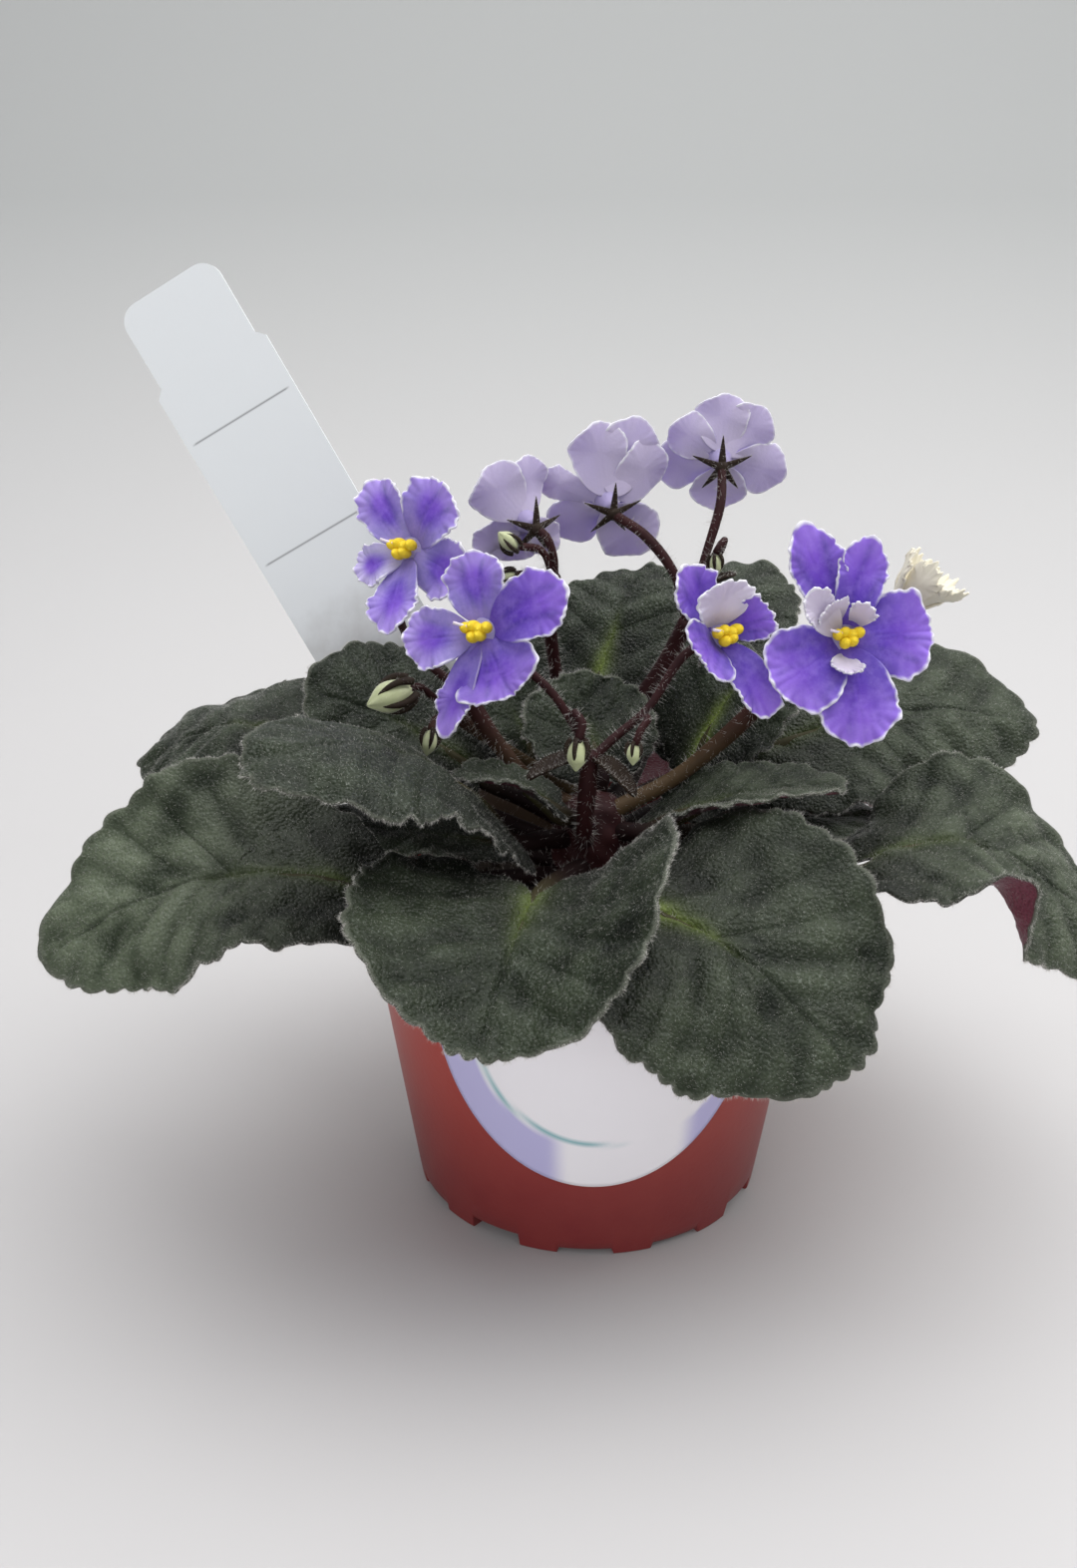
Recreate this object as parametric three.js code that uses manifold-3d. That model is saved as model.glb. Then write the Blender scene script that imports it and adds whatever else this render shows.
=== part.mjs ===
// A potted african violet: a notched plastic pot with a round sticker, potting soil, a plant label,
// and a rosette of scalloped leaves with six branching flower stalks.
// Millimetres, +Z up. The design tables are measured from the pot's axis at the surface that it stands on.
// The last lines move the whole group so that its origin is the middle of its box, at the bottom.

import * as THREE from 'three';
import { mergeVertices } from 'three/addons/utils/BufferGeometryUtils.js';
import Module from 'manifold-3d';

const wasm = await Module();
wasm.setup();

// Pot
const POT_HEIGHT = 82;
const POT_BASE_RADIUS = 42.7;
const POT_TOP_RADIUS = 56.6;
const POT_WALL = 1.6;
const RIM_HEIGHT = 11;
const RIM_STEP = 1.4;
const FOOT_RECESS = 3.2;
const FOOT_WIDTH = 3;
const FLOOR_THICKNESS = 2;
const POT_SIDES = 36;
const NOTCH_COUNT = 12;
const NOTCH_WIDTH = 13;
const NOTCH_LENGTH = 10;
const DEEP_NOTCH = 3.2;
const SHALLOW_NOTCH = 1.4;
const NOTCH_TURN = -2;
const DRAIN_COUNT = 6;
const DRAIN_RADIUS = 4;
const DRAIN_RING = 30;

// Soil, sticker and label
const SOIL_TOP = 74;
const SOIL_SHOULDER = 4;
const SOIL_SIDES = 20;
const SOIL_RINGS = 4;
const FIT_GAP = 0.3;
const STICKER_RADIUS = 38;
const STICKER_THICKNESS = 0.6;
const STICKER_GAP = 0.2;
const STICKER_MIDDLE = 59.5;
const STICKER_SIDES = 36;
const LABEL_WIDTH = 31;
const LABEL_THICKNESS = 1;
const LABEL_FOOT = [-23, 23, 75];
const LABEL_HEAD = [-102, 43, 212];
const LABEL_BURIED = 40;
const LABEL_TAPER = 26;
const LABEL_POINT_WIDTH = 5;
const LABEL_HEAD_LENGTH = 20;
const LABEL_SHOULDER = 2;
const LABEL_CORNER = 5;
const LABEL_SLOT_GAP = 0.4;

// Leaves and stems
const BLADE_THICKNESS = 0.8;
const PETAL_THICKNESS = 0.7;
const PETIOLE_RADIUS = 2.3;
const PETIOLE_SIDES = 5;
const STEM_SIDES = 5;
const LEAF_POINTS = 24;
const SMALL_LEAF_POINTS = 18;
const LARGE_LEAF_WIDTH = 40;
const SCALLOP_DEPTH = 0.05;
const CROWN_SIDES = 10;
const CROWN_PROFILE = [[0, 44], [3, 46], [6, 58], [8, 75], [10, 82], [9.5, 90], [7, 97], [0, 100]];

// Flowers
const PETAL_POINTS = 10;
const SHORT_PETAL = 12;
const SHORT_PETAL_POINTS = 8;
const PETAL_START = 1.8;
const PETAL_FRILL = 0.6;
const PETAL_LAYERS = [0, 1.3, 0.1, 1.4, 2.5, 0.6, 0, 0, 0];
const THROAT_RADIUS = 3.1;
const THROAT_FOOT_RADIUS = 1.6;
const THROAT_DEPTH = 3.6;
const THROAT_RISE = 0.8;
const THROAT_SIDES = 6;
const ANTHER_LENGTH = 4;
const ANTHER_WIDTH = 3.6;
const ANTHER_HEIGHT = 3.8;
const ANTHER_SPOTS = [[-1.4, 0.6], [1.4, 0.6], [0.1, -1.2]];
const PISTIL_RADIUS = 0.5;
const PISTIL_SIDES = 3;
const SEPAL_LENGTH = 7.5;
const SEPAL_WIDTH = 2.2;
const SEPAL_ANGLES = [18, 90, 162, 234, 306];
// Where a flower's stem ends, behind the throat
const CALYX_DEPTH = THROAT_DEPTH + FIT_GAP + 1.3;

const GREEN_LEAF = { color: 0x3f4c3d, roughness: 0.75 };
const DARK_STEM = { color: 0x4a2226, roughness: 0.7 };
const VIOLET_PETAL = { color: 0x6f52c4, roughness: 0.6 };
const YELLOW_ANTHER = { color: 0xe4c416, roughness: 0.6 };
const CREAM_PETAL = { color: 0xe6dfc4, roughness: 0.7 };

// Each leaf: where its blade starts and ends, its width, how high its midrib arches, how its blade rolls
// and twists about the midrib, how far its right and left margins lift, its edge waves, and the height
// on the crown where its petiole starts.
const LEAVES = {
  leaf_front: {
    base: [-13, -44, 92], tip: [-24, -90, 78], width: 67, arch: 4, roll: 0, twist: 14,
    lift: [14, 22], wave: 2, waves: 3, phase: 0.4, root: 82,
  },
  leaf_front_right: {
    base: [7, -45, 90], tip: [50, -71, 64], width: 70, arch: 8, roll: -18, twist: -20,
    lift: [-5, 9], wave: 1.6, waves: 4, phase: 1.2, root: 80,
  },
  leaf_left: {
    base: [-54, -32, 89], tip: [-121, -34, 70], width: 55, arch: 11, roll: 24, twist: 34,
    lift: [10, 0], wave: 2.5, waves: 4, phase: 2.1, root: 79,
  },
  leaf_back_left_low: {
    base: [-68, 3, 111], tip: [-114, 28, 94], width: 51, arch: 8, roll: 20, twist: 14,
    lift: [-4, -3], wave: 2, waves: 4, phase: 0.2, root: 84,
  },
  leaf_left_edge: {
    base: [-21, -19, 98], tip: [-69, -58, 121], width: 44, arch: 14, roll: 7, twist: 0,
    lift: [-2, -8], wave: 2, waves: 3, phase: 0.9, root: 88,
  },
  leaf_back_left: {
    base: [-29, 7, 103], tip: [-68, 6, 121], width: 44, arch: 4, roll: 43, twist: 24,
    lift: [-2, 0], wave: 1.5, waves: 3, phase: 1.7, root: 90,
  },
  leaf_small_left: {
    base: [-9, -15, 101], tip: [-32, -13, 107.5], width: 20, arch: 3, roll: -6, twist: 0,
    lift: [2, 2], wave: 0.8, waves: 3, phase: 0.5, root: 92,
  },
  leaf_back: {
    base: [1, 36, 109], tip: [16, 64, 140], width: 50, arch: 6, roll: 0, twist: 0,
    lift: [-4, -4], wave: 1.5, waves: 3, phase: 0.0, root: 88,
  },
  leaf_inner: {
    base: [2, 4, 103.5], tip: [-4, 15, 124], width: 36, arch: 1.5, roll: 0, twist: 0,
    lift: [1, 1], wave: 1, waves: 3, phase: 2.0, root: 98,
  },
  leaf_right_edge: {
    base: [15, -10, 95], tip: [57, -16, 105], width: 32, arch: 4, roll: -8, twist: 0,
    lift: [7, 0], wave: 1.2, waves: 3, phase: 1.1, root: 89,
  },
  leaf_right_back: {
    base: [38, 15, 102], tip: [112, 26, 106], width: 54, arch: 9, roll: -33, twist: -34,
    lift: [-5, -2], wave: 2, waves: 4, phase: 0.6, root: 80,
  },
  leaf_right: {
    base: [61, -28, 93], tip: [117, -28, 66], width: 57, arch: 16, roll: -16, twist: -34,
    lift: [0, 3], wave: 3.5, waves: 4, phase: 1.4, root: 80,
  },
  leaf_back_right: {
    base: [24, 44, 111], tip: [50, 73, 138], width: 42, arch: 5, roll: 0, twist: 0,
    lift: [-3, -3], wave: 1.5, waves: 3, phase: 2.4, root: 90,
  },
  leaf_inner_right: {
    base: [27, 16, 103], tip: [45, 25, 124], width: 41, arch: 6, roll: -14, twist: 0,
    lift: [2, 5], wave: 1.5, waves: 3, phase: 0.3, root: 92,
  },
  leaf_inner_left: {
    base: [-13, 12, 102], tip: [-25, 20, 124], width: 20, arch: 2, roll: 20, twist: 0,
    lift: [2, 2], wave: 1, waves: 3, phase: 1.0, root: 93,
  },
  leaf_low_left: {
    base: [-22, -1, 86], tip: [-66, -3, 92], width: 30, arch: 1, roll: 0, twist: 0,
    lift: [1, 0], wave: 1, waves: 3, phase: 0.8, root: 80,
  },
  leaf_low_right: {
    base: [28, -0.5, 90.5], tip: [70, 4, 91], width: 30, arch: 1, roll: 0, twist: 0,
    lift: [0, 2], wave: 1, waves: 3, phase: 2.8, root: 86,
  },
  leaf_rear_left: {
    base: [-14, 42, 93], tip: [-50, 93, 66], width: 54, arch: 12, roll: 0, twist: 0,
    lift: [-3, -3], wave: 2, waves: 4, phase: 1.9, root: 82,
  },
  leaf_rear: {
    base: [15, 42, 98], tip: [25,98,65], width: 54, arch: 15, roll: 0, twist: 0,
    lift: [-3, -3], wave: 2, waves: 4, phase: 0.9, root: 81,
  },
  leaf_rear_right: {
    base: [38, 36, 92], tip: [84, 74, 66], width: 54, arch: 9, roll: 0, twist: 0,
    lift: [-3, -3], wave: 2, waves: 4, phase: 2.7, root: 86,
  },
};

// Each flower: the middle of its throat, the way that it faces, and its petals.
// A petal is its angle round the flower, length, width, tilt out of the flower's plane, lengthwise curve,
// cup across its width, and how far from the flower's axis it starts.
const BLOOMS = {
  bloom_left: {
    at: [-41, 0, 156.4], facing: [-0.47, -0.8, 0.36],
    petals: [[134, 18, 12, 15, -2, 1], [57, 16.5, 16, 20, -2, 1], [-18, 15, 14, 9, -2, 1],
      [-80, 20, 12, 26, -2, 1], [214, 11.5, 9.5, 16, -2, 1]],
  },
  bloom_front: {
    at: [-24.4, -22, 143.2], facing: [-0.32, -0.88, 0.34],
    petals: [[101, 16, 14, 18, -2, 1], [27, 21.5, 14.5, 18, -2, 1], [-57, 15, 20, 21, -2, 1],
      [-103, 22, 7.5, 5, -1, 1], [194, 15, 13.5, 14, -2, 1]],
  },
  bloom_back_left: {
    at: [-15.5, 16, 160.4], facing: [-0.48, 0.85, 0.22],
    petals: [[47, 15, 14, 13, -1, 1], [96, 13, 11, 13, -1, 1], [-142, 12, 9, 14, -1, 1],
      [-39, 12, 9, 15, -1, 1], [-84, 10, 15, 13, -1, 1]],
  },
  bloom_back: {
    at: [4, 27, 163.1], facing: [-0.25, 0.88, 0.4],
    petals: [[77, 18, 14, 21, -1, 1], [114, 19, 16, 19, -1, 1], [145, 17, 14, 21, -1, 1],
      [-127, 20, 16, 8, -1, 1], [-56, 15, 15, 18, -1, 1], [16, 18, 8, 15, -1, 1]],
  },
  bloom_back_right: {
    at: [31.7, 36, 172], facing: [0.02, 0.96, 0.26],
    petals: [[91, 14, 13, 20, -1, 1], [136, 14, 13, 14, -1, 1], [34, 13, 11, 15, -1, 1],
      [200, 16, 13, 11, -1, 1], [-16, 14.5, 13, 10, -1, 1], [-92, 12.5, 14, 12, -1, 1]],
  },
  bloom_small: {
    at: [27.5, -12, 140], facing: [0.3, -0.9, 0.33],
    petals: [[126, 17, 11, 17, 2, 2], [100, 10.5, 14, 30, 3, 2], [24, 9.5, 10, 30, 3, 2],
      [-68, 19, 10, 14, 0, 2], [-148, 9, 16, 24, 1, 2]],
  },
  bloom_right: {
    at: [55, -12, 139.3], facing: [0, -0.93, 0.38],
    petals: [[114, 26, 12, 20, -2, 1], [78, 21, 11, 17, -2, 1], [3, 17.5, 20, 16, -2, 1],
      [-82, 22.5, 18, 10, -2, 1], [216, 19, 20, 16, -2, 1], [143, 15, 8, 42, 2, 2],
      [128, 9, 8, 62, 1, 2, 3.6], [60, 8, 6, 64, 1, 2, 3.6], [-96, 8, 7, 50, 1, 2, 3.4]],
  },
  bloom_faded: {
    at: [70, 3, 143.5], facing: [0.7, -0.15, 0.68],
    petals: [[90, 10, 9, 52, 2, 2], [162, 10, 8, 58, 2, 2], [18, 11, 9, 50, 2, 2],
      [-54, 10, 8, 56, 2, 2], [-126, 10, 8, 52, 2, 2]],
  },
};

// Each flower stalk: its stems as hand-set paths with a radius, the flowers that it carries, its buds
// (middle, way that it points, length) and its small bract leaves (base, tip, width).
const SPRAYS = {
  spray_front: {
    stems: [
      { path: [[-1, -5, 88], [-2, -13, 94], [-1.6, -17, 105], [-1, -18, 115]], radius: 2 },
      { path: [[-1, -18, 113], [-4, -18, 120], [-10, -17, 129], [-18, -16, 136]],
        radius: 1, bloom: 'bloom_front' },
      { path: [[-1, -18, 113], [4, -15, 117], [12, -11, 123], [20, -7, 134]],
        radius: 1, bloom: 'bloom_small' },
      { path: [[-3, -18, 119], [-5, -20, 125], [-3, -22, 123], [-4, -23, 119]], radius: 1 },
      { path: [[9, -12, 120.5], [12, -15, 122], [10, -18, 120], [9, -19, 117]], radius: 0.9 },
    ],
    buds: [[[-4, -23.4, 116], [-0.1, -0.3, -1], 7], [[8.6, -19.4, 115], [-0.1, -0.4, -1], 5]],
    bracts: [[[-1.5, -18, 114], [-15, -22, 110], 7], [[-0.5, -18, 114], [9, -22, 106], 7]],
  },
  spray_left: {
    stems: [
      { path: [[-3, 0, 95], [-13, -1, 101], [-22, -3, 112], [-30, -4, 126]], radius: 1.9 },
      { path: [[-30, -4, 125], [-39, -3, 133], [-44, 0, 141], [-42, 4, 150]],
        radius: 1, bloom: 'bloom_left' },
    ],
    buds: [],
    bracts: [],
  },
  spray_buds: {
    stems: [
      { path: [[-2, 4, 97], [-15, 6, 104], [-25, 3, 112], [-33, -2, 120]], radius: 1.7 },
      { path: [[-32, -1.8, 118], [-37, -4, 124], [-40, -7, 127], [-43, -9, 126]], radius: 0.9 },
      { path: [[-32, -1.8, 118.5], [-36, -6, 119], [-37, -9, 117]], radius: 0.9 },
    ],
    buds: [[[-46, -10, 125.4], [-1, -0.4, -0.3], 11], [[-37.4, -10.2, 114.6], [-0.2, -0.5, -1], 6]],
    bracts: [],
  },
  spray_right: {
    stems: [
      { path: [[5, -2, 95], [20, 2, 102], [33, 1, 114], [44, -3, 128]], radius: 2 },
      { path: [[43, -2.6, 127], [50, 0, 134], [56, 0, 138]], radius: 1.3, bloom: 'bloom_right' },
      { path: [[43, -2.6, 127], [53, 4, 131], [60, 5, 135]], radius: 1, bloom: 'bloom_faded' },
    ],
    buds: [],
    bracts: [],
  },
  spray_back: {
    stems: [
      { path: [[0.5, 6, 95], [9, 21, 110], [18, 21, 124], [23, 16, 137]], radius: 2 },
      { path: [[23, 16, 136], [20, 18, 147], [13, 20, 156]], radius: 1.2, bloom: 'bloom_back' },
      { path: [[23, 16, 136], [27, 21, 150], [31, 26, 163]], radius: 1.1, bloom: 'bloom_back_right' },
      { path: [[26, 19.5, 147], [30, 18, 152], [31, 16, 156], [29, 15, 153]], radius: 0.9 },
    ],
    buds: [[[29.2, 15, 150.2], [0.1, 0, -1], 5]],
    bracts: [[[24, 17, 141], [34, 15, 148], 6]],
  },
  spray_back_left: {
    stems: [
      { path: [[-2.8, 6, 91], [-5, 20, 103], [-8, 24, 120], [-10, 18, 138], [-9, 13, 148]], radius: 1.7 },
      { path: [[-9, 13, 147], [-9, 11, 153], [-11, 11, 158]], radius: 1, bloom: 'bloom_back_left' },
      { path: [[-9, 13, 148], [-12, 9, 155], [-17, 8, 156]], radius: 0.9 },
      { path: [[-9, 13.4, 147], [-13, 11, 149], [-18, 10, 149]], radius: 0.9 },
    ],
    buds: [[[-19.6, 7.6, 157.4], [-0.6, -0.2, 0.6], 6], [[-20.2, 9.6, 148.6], [-1, -0.2, -0.3], 5]],
    bracts: [],
  },
};

const up = new THREE.Vector3(0, 0, 1);
const vec = (p) => new THREE.Vector3(p[0], p[1], p[2]);
const rad = THREE.MathUtils.degToRad;

// Solids to and from three.js geometry
function solidOf(geometry) {
  const bare = geometry.clone();
  bare.deleteAttribute('normal');
  bare.deleteAttribute('uv');
  const merged = mergeVertices(bare, 1e-4);
  return new wasm.Manifold(new wasm.Mesh({
    numProp: 3,
    vertProperties: new Float32Array(merged.attributes.position.array),
    triVerts: new Uint32Array(merged.index.array),
  }));
}

function geometryOf(solid) {
  const mesh = solid.getMesh();
  const geometry = new THREE.BufferGeometry();
  geometry.setAttribute('position', new THREE.BufferAttribute(new Float32Array(mesh.vertProperties), 3));
  geometry.setIndex(new THREE.BufferAttribute(new Uint32Array(mesh.triVerts), 1));
  return geometry;
}

function joined(solids) {
  return solids.reduce((whole, next) => whole.add(next));
}

const group = new THREE.Group();

function addPart(name, solid, look) {
  const mesh = new THREE.Mesh(geometryOf(solid), new THREE.MeshStandardMaterial({ metalness: 0, ...look }));
  mesh.name = name;
  group.add(mesh);
}

// How far apart two places are taken for a blade's slope
const SLOPE_STEP = 0.4;

// A thin blade. Rings of points run out from its middle to the outline radius(angle, edge),
// place(x, y, edge, angle) puts each flat point in space, and both faces are split into the same triangles.
function bladeSolid({ middle, radius, points, rings, thickness, place }) {
  const spots = [[middle, 0, 0, 0]];
  for (let ring = 1; ring <= rings; ring += 1) {
    const edge = ring / rings;
    for (let j = 0; j < points; j += 1) {
      const angle = (j / points) * 2 * Math.PI;
      const reach = radius(angle, edge) * edge;
      spots.push([middle + reach * Math.cos(angle), reach * Math.sin(angle), edge, angle]);
    }
  }
  const faces = [[], []];
  spots.forEach(([x, y, edge, angle]) => {
    const point = place(x, y, edge, angle);
    const along = place(x + SLOPE_STEP, y, edge, angle).sub(point);
    const across = place(x, y + SLOPE_STEP, edge, angle).sub(point);
    const normal = across.cross(along).normalize().multiplyScalar(thickness / 2);
    faces[0].push(point.clone().add(normal));
    faces[1].push(point.clone().sub(normal));
  });
  const count = spots.length;
  const at = (ring, j) => (ring === 0 ? 0 : 1 + (ring - 1) * points + (j % points));
  const triangles = [];
  for (let j = 0; j < points; j += 1) {
    triangles.push([0, at(1, j), at(1, j + 1)]);
    for (let ring = 1; ring < rings; ring += 1) {
      triangles.push([at(ring, j), at(ring + 1, j), at(ring + 1, j + 1)]);
      triangles.push([at(ring, j), at(ring + 1, j + 1), at(ring, j + 1)]);
    }
  }
  const index = [];
  triangles.forEach(([a, b, c]) => {
    index.push(a, c, b);
    index.push(a + count, b + count, c + count);
  });
  for (let j = 0; j < points; j += 1) {
    const a = at(rings, j);
    const b = at(rings, j + 1);
    index.push(a, b, b + count, a, b + count, a + count);
  }
  const geometry = new THREE.BufferGeometry();
  const positions = [...faces[0], ...faces[1]].flatMap((p) => [p.x, p.y, p.z]);
  geometry.setAttribute('position', new THREE.Float32BufferAttribute(positions, 3));
  geometry.setIndex(index);
  return solidOf(geometry);
}

// A round stem through its points, with as many straight lengths as there are between them
function tube(points, radius, sides) {
  const curve = new THREE.CatmullRomCurve3(points.map((p) => (p.isVector3 ? p : vec(p))));
  const section = new THREE.Shape();
  for (let i = 0; i < sides; i += 1) {
    const angle = (i / sides) * 2 * Math.PI;
    const corner = [radius * Math.cos(angle), radius * Math.sin(angle)];
    if (i === 0) section.moveTo(...corner);
    else section.lineTo(...corner);
  }
  return solidOf(new THREE.ExtrudeGeometry(section, {
    steps: points.length - 1, extrudePath: curve, bevelEnabled: false,
  }));
}

// A rounded lump, longer along its pointing way
function lump(at, way, length, width, sides = 5) {
  const geometry = new THREE.SphereGeometry(1, sides, 3);
  geometry.scale(width / 2, length / 2, width / 2);
  const turn = new THREE.Quaternion().setFromUnitVectors(new THREE.Vector3(0, 1, 0), way.clone().normalize());
  geometry.applyQuaternion(turn);
  geometry.translate(at.x, at.y, at.z);
  return solidOf(geometry);
}

// Shares of a leaf's length: its widest place, how far its base lobes reach back from there, and how deep
// the notch between the lobes is. The notch and the calm stretch beside it spread over these angles, in
// radians.
const LEAF_MIDDLE = 0.38;
const LOBE_REACH = 0.53;
const NOTCH_DEPTH = 0.16;
const NOTCH_SPREAD = 0.24;
const CALM_SPREAD = 0.5;

// An angle about the leaf's middle, as a turn of -180 to 180 degrees from its tip
function turnFromTip(angle) {
  return Math.atan2(Math.sin(angle), Math.cos(angle));
}

// 1 at the leaf's base line, falling to 0 away from it
function nearBase(turn, spread) {
  return Math.exp(-(((Math.PI - Math.abs(turn)) / spread) ** 2));
}

// Leaf outline: an oval with two lobes at the base, a notch between them, and scallops round the margin
function leafOutline({ length, width, points }) {
  const middle = LEAF_MIDDLE * length;
  const radius = (angle, edge) => {
    const turn = turnFromTip(angle);
    const reach = Math.abs(turn) < Math.PI / 2 ? length - middle : LOBE_REACH * length;
    const oval = 1 / Math.hypot(Math.cos(turn) / reach, (2 * Math.sin(turn)) / width);
    const notch = NOTCH_DEPTH * length * nearBase(turn, NOTCH_SPREAD);
    const tooth = edge === 1 ? 1 - SCALLOP_DEPTH * Math.abs(Math.sin((points / 4) * turn)) : 1;
    return (oval - notch) * tooth;
  };
  return { middle, radius };
}

// Puts a flat leaf point on the arched, rolled and waved blade
function leafPlace(leaf) {
  const base = vec(leaf.base);
  const tip = vec(leaf.tip);
  const length = base.distanceTo(tip);
  const ridge = base.clone().add(tip).multiplyScalar(0.5).addScaledVector(up, 2 * leaf.arch);
  return (x, y, edge, angle) => {
    const u = x / length;
    const v = Math.min(Math.max(u, 0), 1);
    const point = base.clone().multiplyScalar((1 - v) ** 2)
      .addScaledVector(ridge, 2 * v * (1 - v))
      .addScaledVector(tip, v * v);
    const along = base.clone().multiplyScalar(-2 * (1 - v))
      .addScaledVector(ridge, 2 - 4 * v)
      .addScaledVector(tip, 2 * v);
    point.addScaledVector(along, u - v);
    along.normalize();
    const right = along.clone().cross(up).normalize();
    const face = right.clone().cross(along);
    const roll = rad(leaf.roll + leaf.twist * (v - 0.5));
    const side = right.clone().multiplyScalar(Math.cos(roll)).addScaledVector(face, Math.sin(roll));
    const rise = face.clone().multiplyScalar(Math.cos(roll)).addScaledVector(right, -Math.sin(roll));
    const across = (2 * y) / leaf.width;
    const lift = (across > 0 ? leaf.lift[0] : leaf.lift[1]) * Math.abs(across) ** 1.6;
    const calm = 1 - nearBase(turnFromTip(angle), CALM_SPREAD);
    const wave = leaf.wave * calm * edge * edge * Math.sin(leaf.waves * angle + leaf.phase);
    return point.addScaledVector(side, y).addScaledVector(rise, lift + wave);
  };
}

// A leaf's petiole starts this far from the crown's axis, and runs this far under the blade's midrib,
// from a little before its base to a tenth of its length
const PETIOLE_START = 4;
const PETIOLE_BELOW = 1.1;

function petiolePath(leaf, length, place) {
  const start = vec([leaf.base[0], leaf.base[1], 0]).normalize().multiplyScalar(PETIOLE_START);
  start.z = leaf.root;
  const join = place(-0.05 * length, 0, 0, 0).addScaledVector(up, -PETIOLE_BELOW);
  const end = place(0.1 * length, 0, 0, 0).addScaledVector(up, -PETIOLE_BELOW);
  const middle = start.clone().lerp(join, 0.5).addScaledVector(up, 0.5);
  return [start, middle, join, end];
}

// The blade is finer on large leaves, and finest on those towards the front
function leafSolid(leaf, crown) {
  const length = vec(leaf.base).distanceTo(vec(leaf.tip));
  const place = leafPlace(leaf);
  const large = leaf.width > LARGE_LEAF_WIDTH;
  const points = large ? LEAF_POINTS : SMALL_LEAF_POINTS;
  const rings = large && leaf.base[1] < 4 ? 3 : 2;
  const outline = leafOutline({ length, width: leaf.width, points });
  const blade = bladeSolid({ ...outline, points, rings, thickness: BLADE_THICKNESS, place });
  const petiole = tube(petiolePath(leaf, length, place), PETIOLE_RADIUS, PETIOLE_SIDES);
  return blade.add(petiole.subtract(crown));
}

// A flower's own directions: right and up across its face, and the way that it faces
function bloomFrame(bloom) {
  const facing = vec(bloom.facing).normalize();
  const top = up.clone().addScaledVector(facing, -facing.z).normalize();
  return { middle: vec(bloom.at), facing, top, right: top.clone().cross(facing) };
}

// Neighbouring petals lie in layers, so that they pass over each other clear of the throat
function petalSolid(frame, [angle, length, width, tilt, curve, cup, start = PETAL_START], order) {
  const spoke = frame.right.clone().multiplyScalar(Math.cos(rad(angle)))
    .addScaledVector(frame.top, Math.sin(rad(angle)));
  const across = frame.facing.clone().cross(spoke);
  const place = (x, y, edge, turn) => {
    const along = x / length;
    const height = x * Math.sin(rad(tilt)) + curve * along * along + cup * ((2 * y) / width) ** 2
      + PETAL_FRILL * edge * edge * Math.sin(3 * turn + 2 * order)
      + PETAL_LAYERS[order] * Math.min(1, 0.3 + 2 * along);
    return frame.middle.clone()
      .addScaledVector(spoke, start + x * Math.cos(rad(tilt)))
      .addScaledVector(across, y)
      .addScaledVector(frame.facing, height);
  };
  const middle = 0.6 * length;
  const radius = (turn, edge) => {
    const reach = Math.cos(turn) > 0 ? length - middle : middle;
    const narrow = Math.cos(turn) > 0 ? 1 : 1 - 0.35 * Math.cos(turn) ** 2 * Math.abs(Math.sin(turn));
    const oval = narrow / Math.hypot(Math.cos(turn) / reach, (2 * Math.sin(turn)) / width);
    return oval * (edge === 1 ? 1 + 0.04 * Math.cos((PETAL_POINTS / 2) * turn) : 1);
  };
  const short = length <= SHORT_PETAL;
  const points = short ? SHORT_PETAL_POINTS : PETAL_POINTS;
  return bladeSolid({ middle, radius, points, rings: short ? 1 : 2, thickness: PETAL_THICKNESS, place });
}

function corollaSolid(bloom) {
  const frame = bloomFrame(bloom);
  const tall = THROAT_DEPTH + THROAT_RISE;
  const throat = new THREE.CylinderGeometry(THROAT_RADIUS, THROAT_FOOT_RADIUS, tall, THROAT_SIDES);
  throat.translate(0, THROAT_RISE - tall / 2, 0);
  throat.applyQuaternion(new THREE.Quaternion().setFromUnitVectors(new THREE.Vector3(0, 1, 0), frame.facing));
  throat.translate(frame.middle.x, frame.middle.y, frame.middle.z);
  return joined([solidOf(throat), ...bloom.petals.map((petal, order) => petalSolid(frame, petal, order))]);
}

function stamensSolid(bloom) {
  const frame = bloomFrame(bloom);
  const spot = (x, y, z) => frame.middle.clone().addScaledVector(frame.right, x)
    .addScaledVector(frame.top, y).addScaledVector(frame.facing, z);
  const lobes = ANTHER_SPOTS.map(([x, y]) => {
    const way = frame.facing.clone().addScaledVector(frame.right, 0.15 * x);
    return lump(spot(x, y, ANTHER_HEIGHT), way, ANTHER_LENGTH, ANTHER_WIDTH, 4);
  });
  const pistil = tube([spot(0, 0, 1.4), spot(-1, 0.4, 4.6), spot(-4.4, 1, 6.4)], PISTIL_RADIUS, PISTIL_SIDES);
  return joined([...lobes, pistil]);
}

function sepalSolid(frame, root, angle) {
  const spoke = frame.right.clone().multiplyScalar(Math.cos(rad(angle)))
    .addScaledVector(frame.top, Math.sin(rad(angle)));
  const across = frame.facing.clone().cross(spoke);
  const way = spoke.clone().addScaledVector(frame.facing, 0.2).normalize();
  const sepal = new THREE.ConeGeometry(SEPAL_WIDTH / 2, SEPAL_LENGTH, 4);
  sepal.translate(0, SEPAL_LENGTH / 2, 0);
  sepal.scale(1, 1, 0.5);
  sepal.applyMatrix4(new THREE.Matrix4().makeBasis(across, way, across.clone().cross(way)));
  sepal.translate(root.x, root.y, root.z);
  return solidOf(sepal);
}

function calyxSolids(bloom) {
  const frame = bloomFrame(bloom);
  const root = frame.middle.clone().addScaledVector(frame.facing, -CALYX_DEPTH);
  const base = lump(root, frame.facing, 2.6, 3.4);
  return [base, ...SEPAL_ANGLES.map((angle) => sepalSolid(frame, root, angle))];
}

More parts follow.
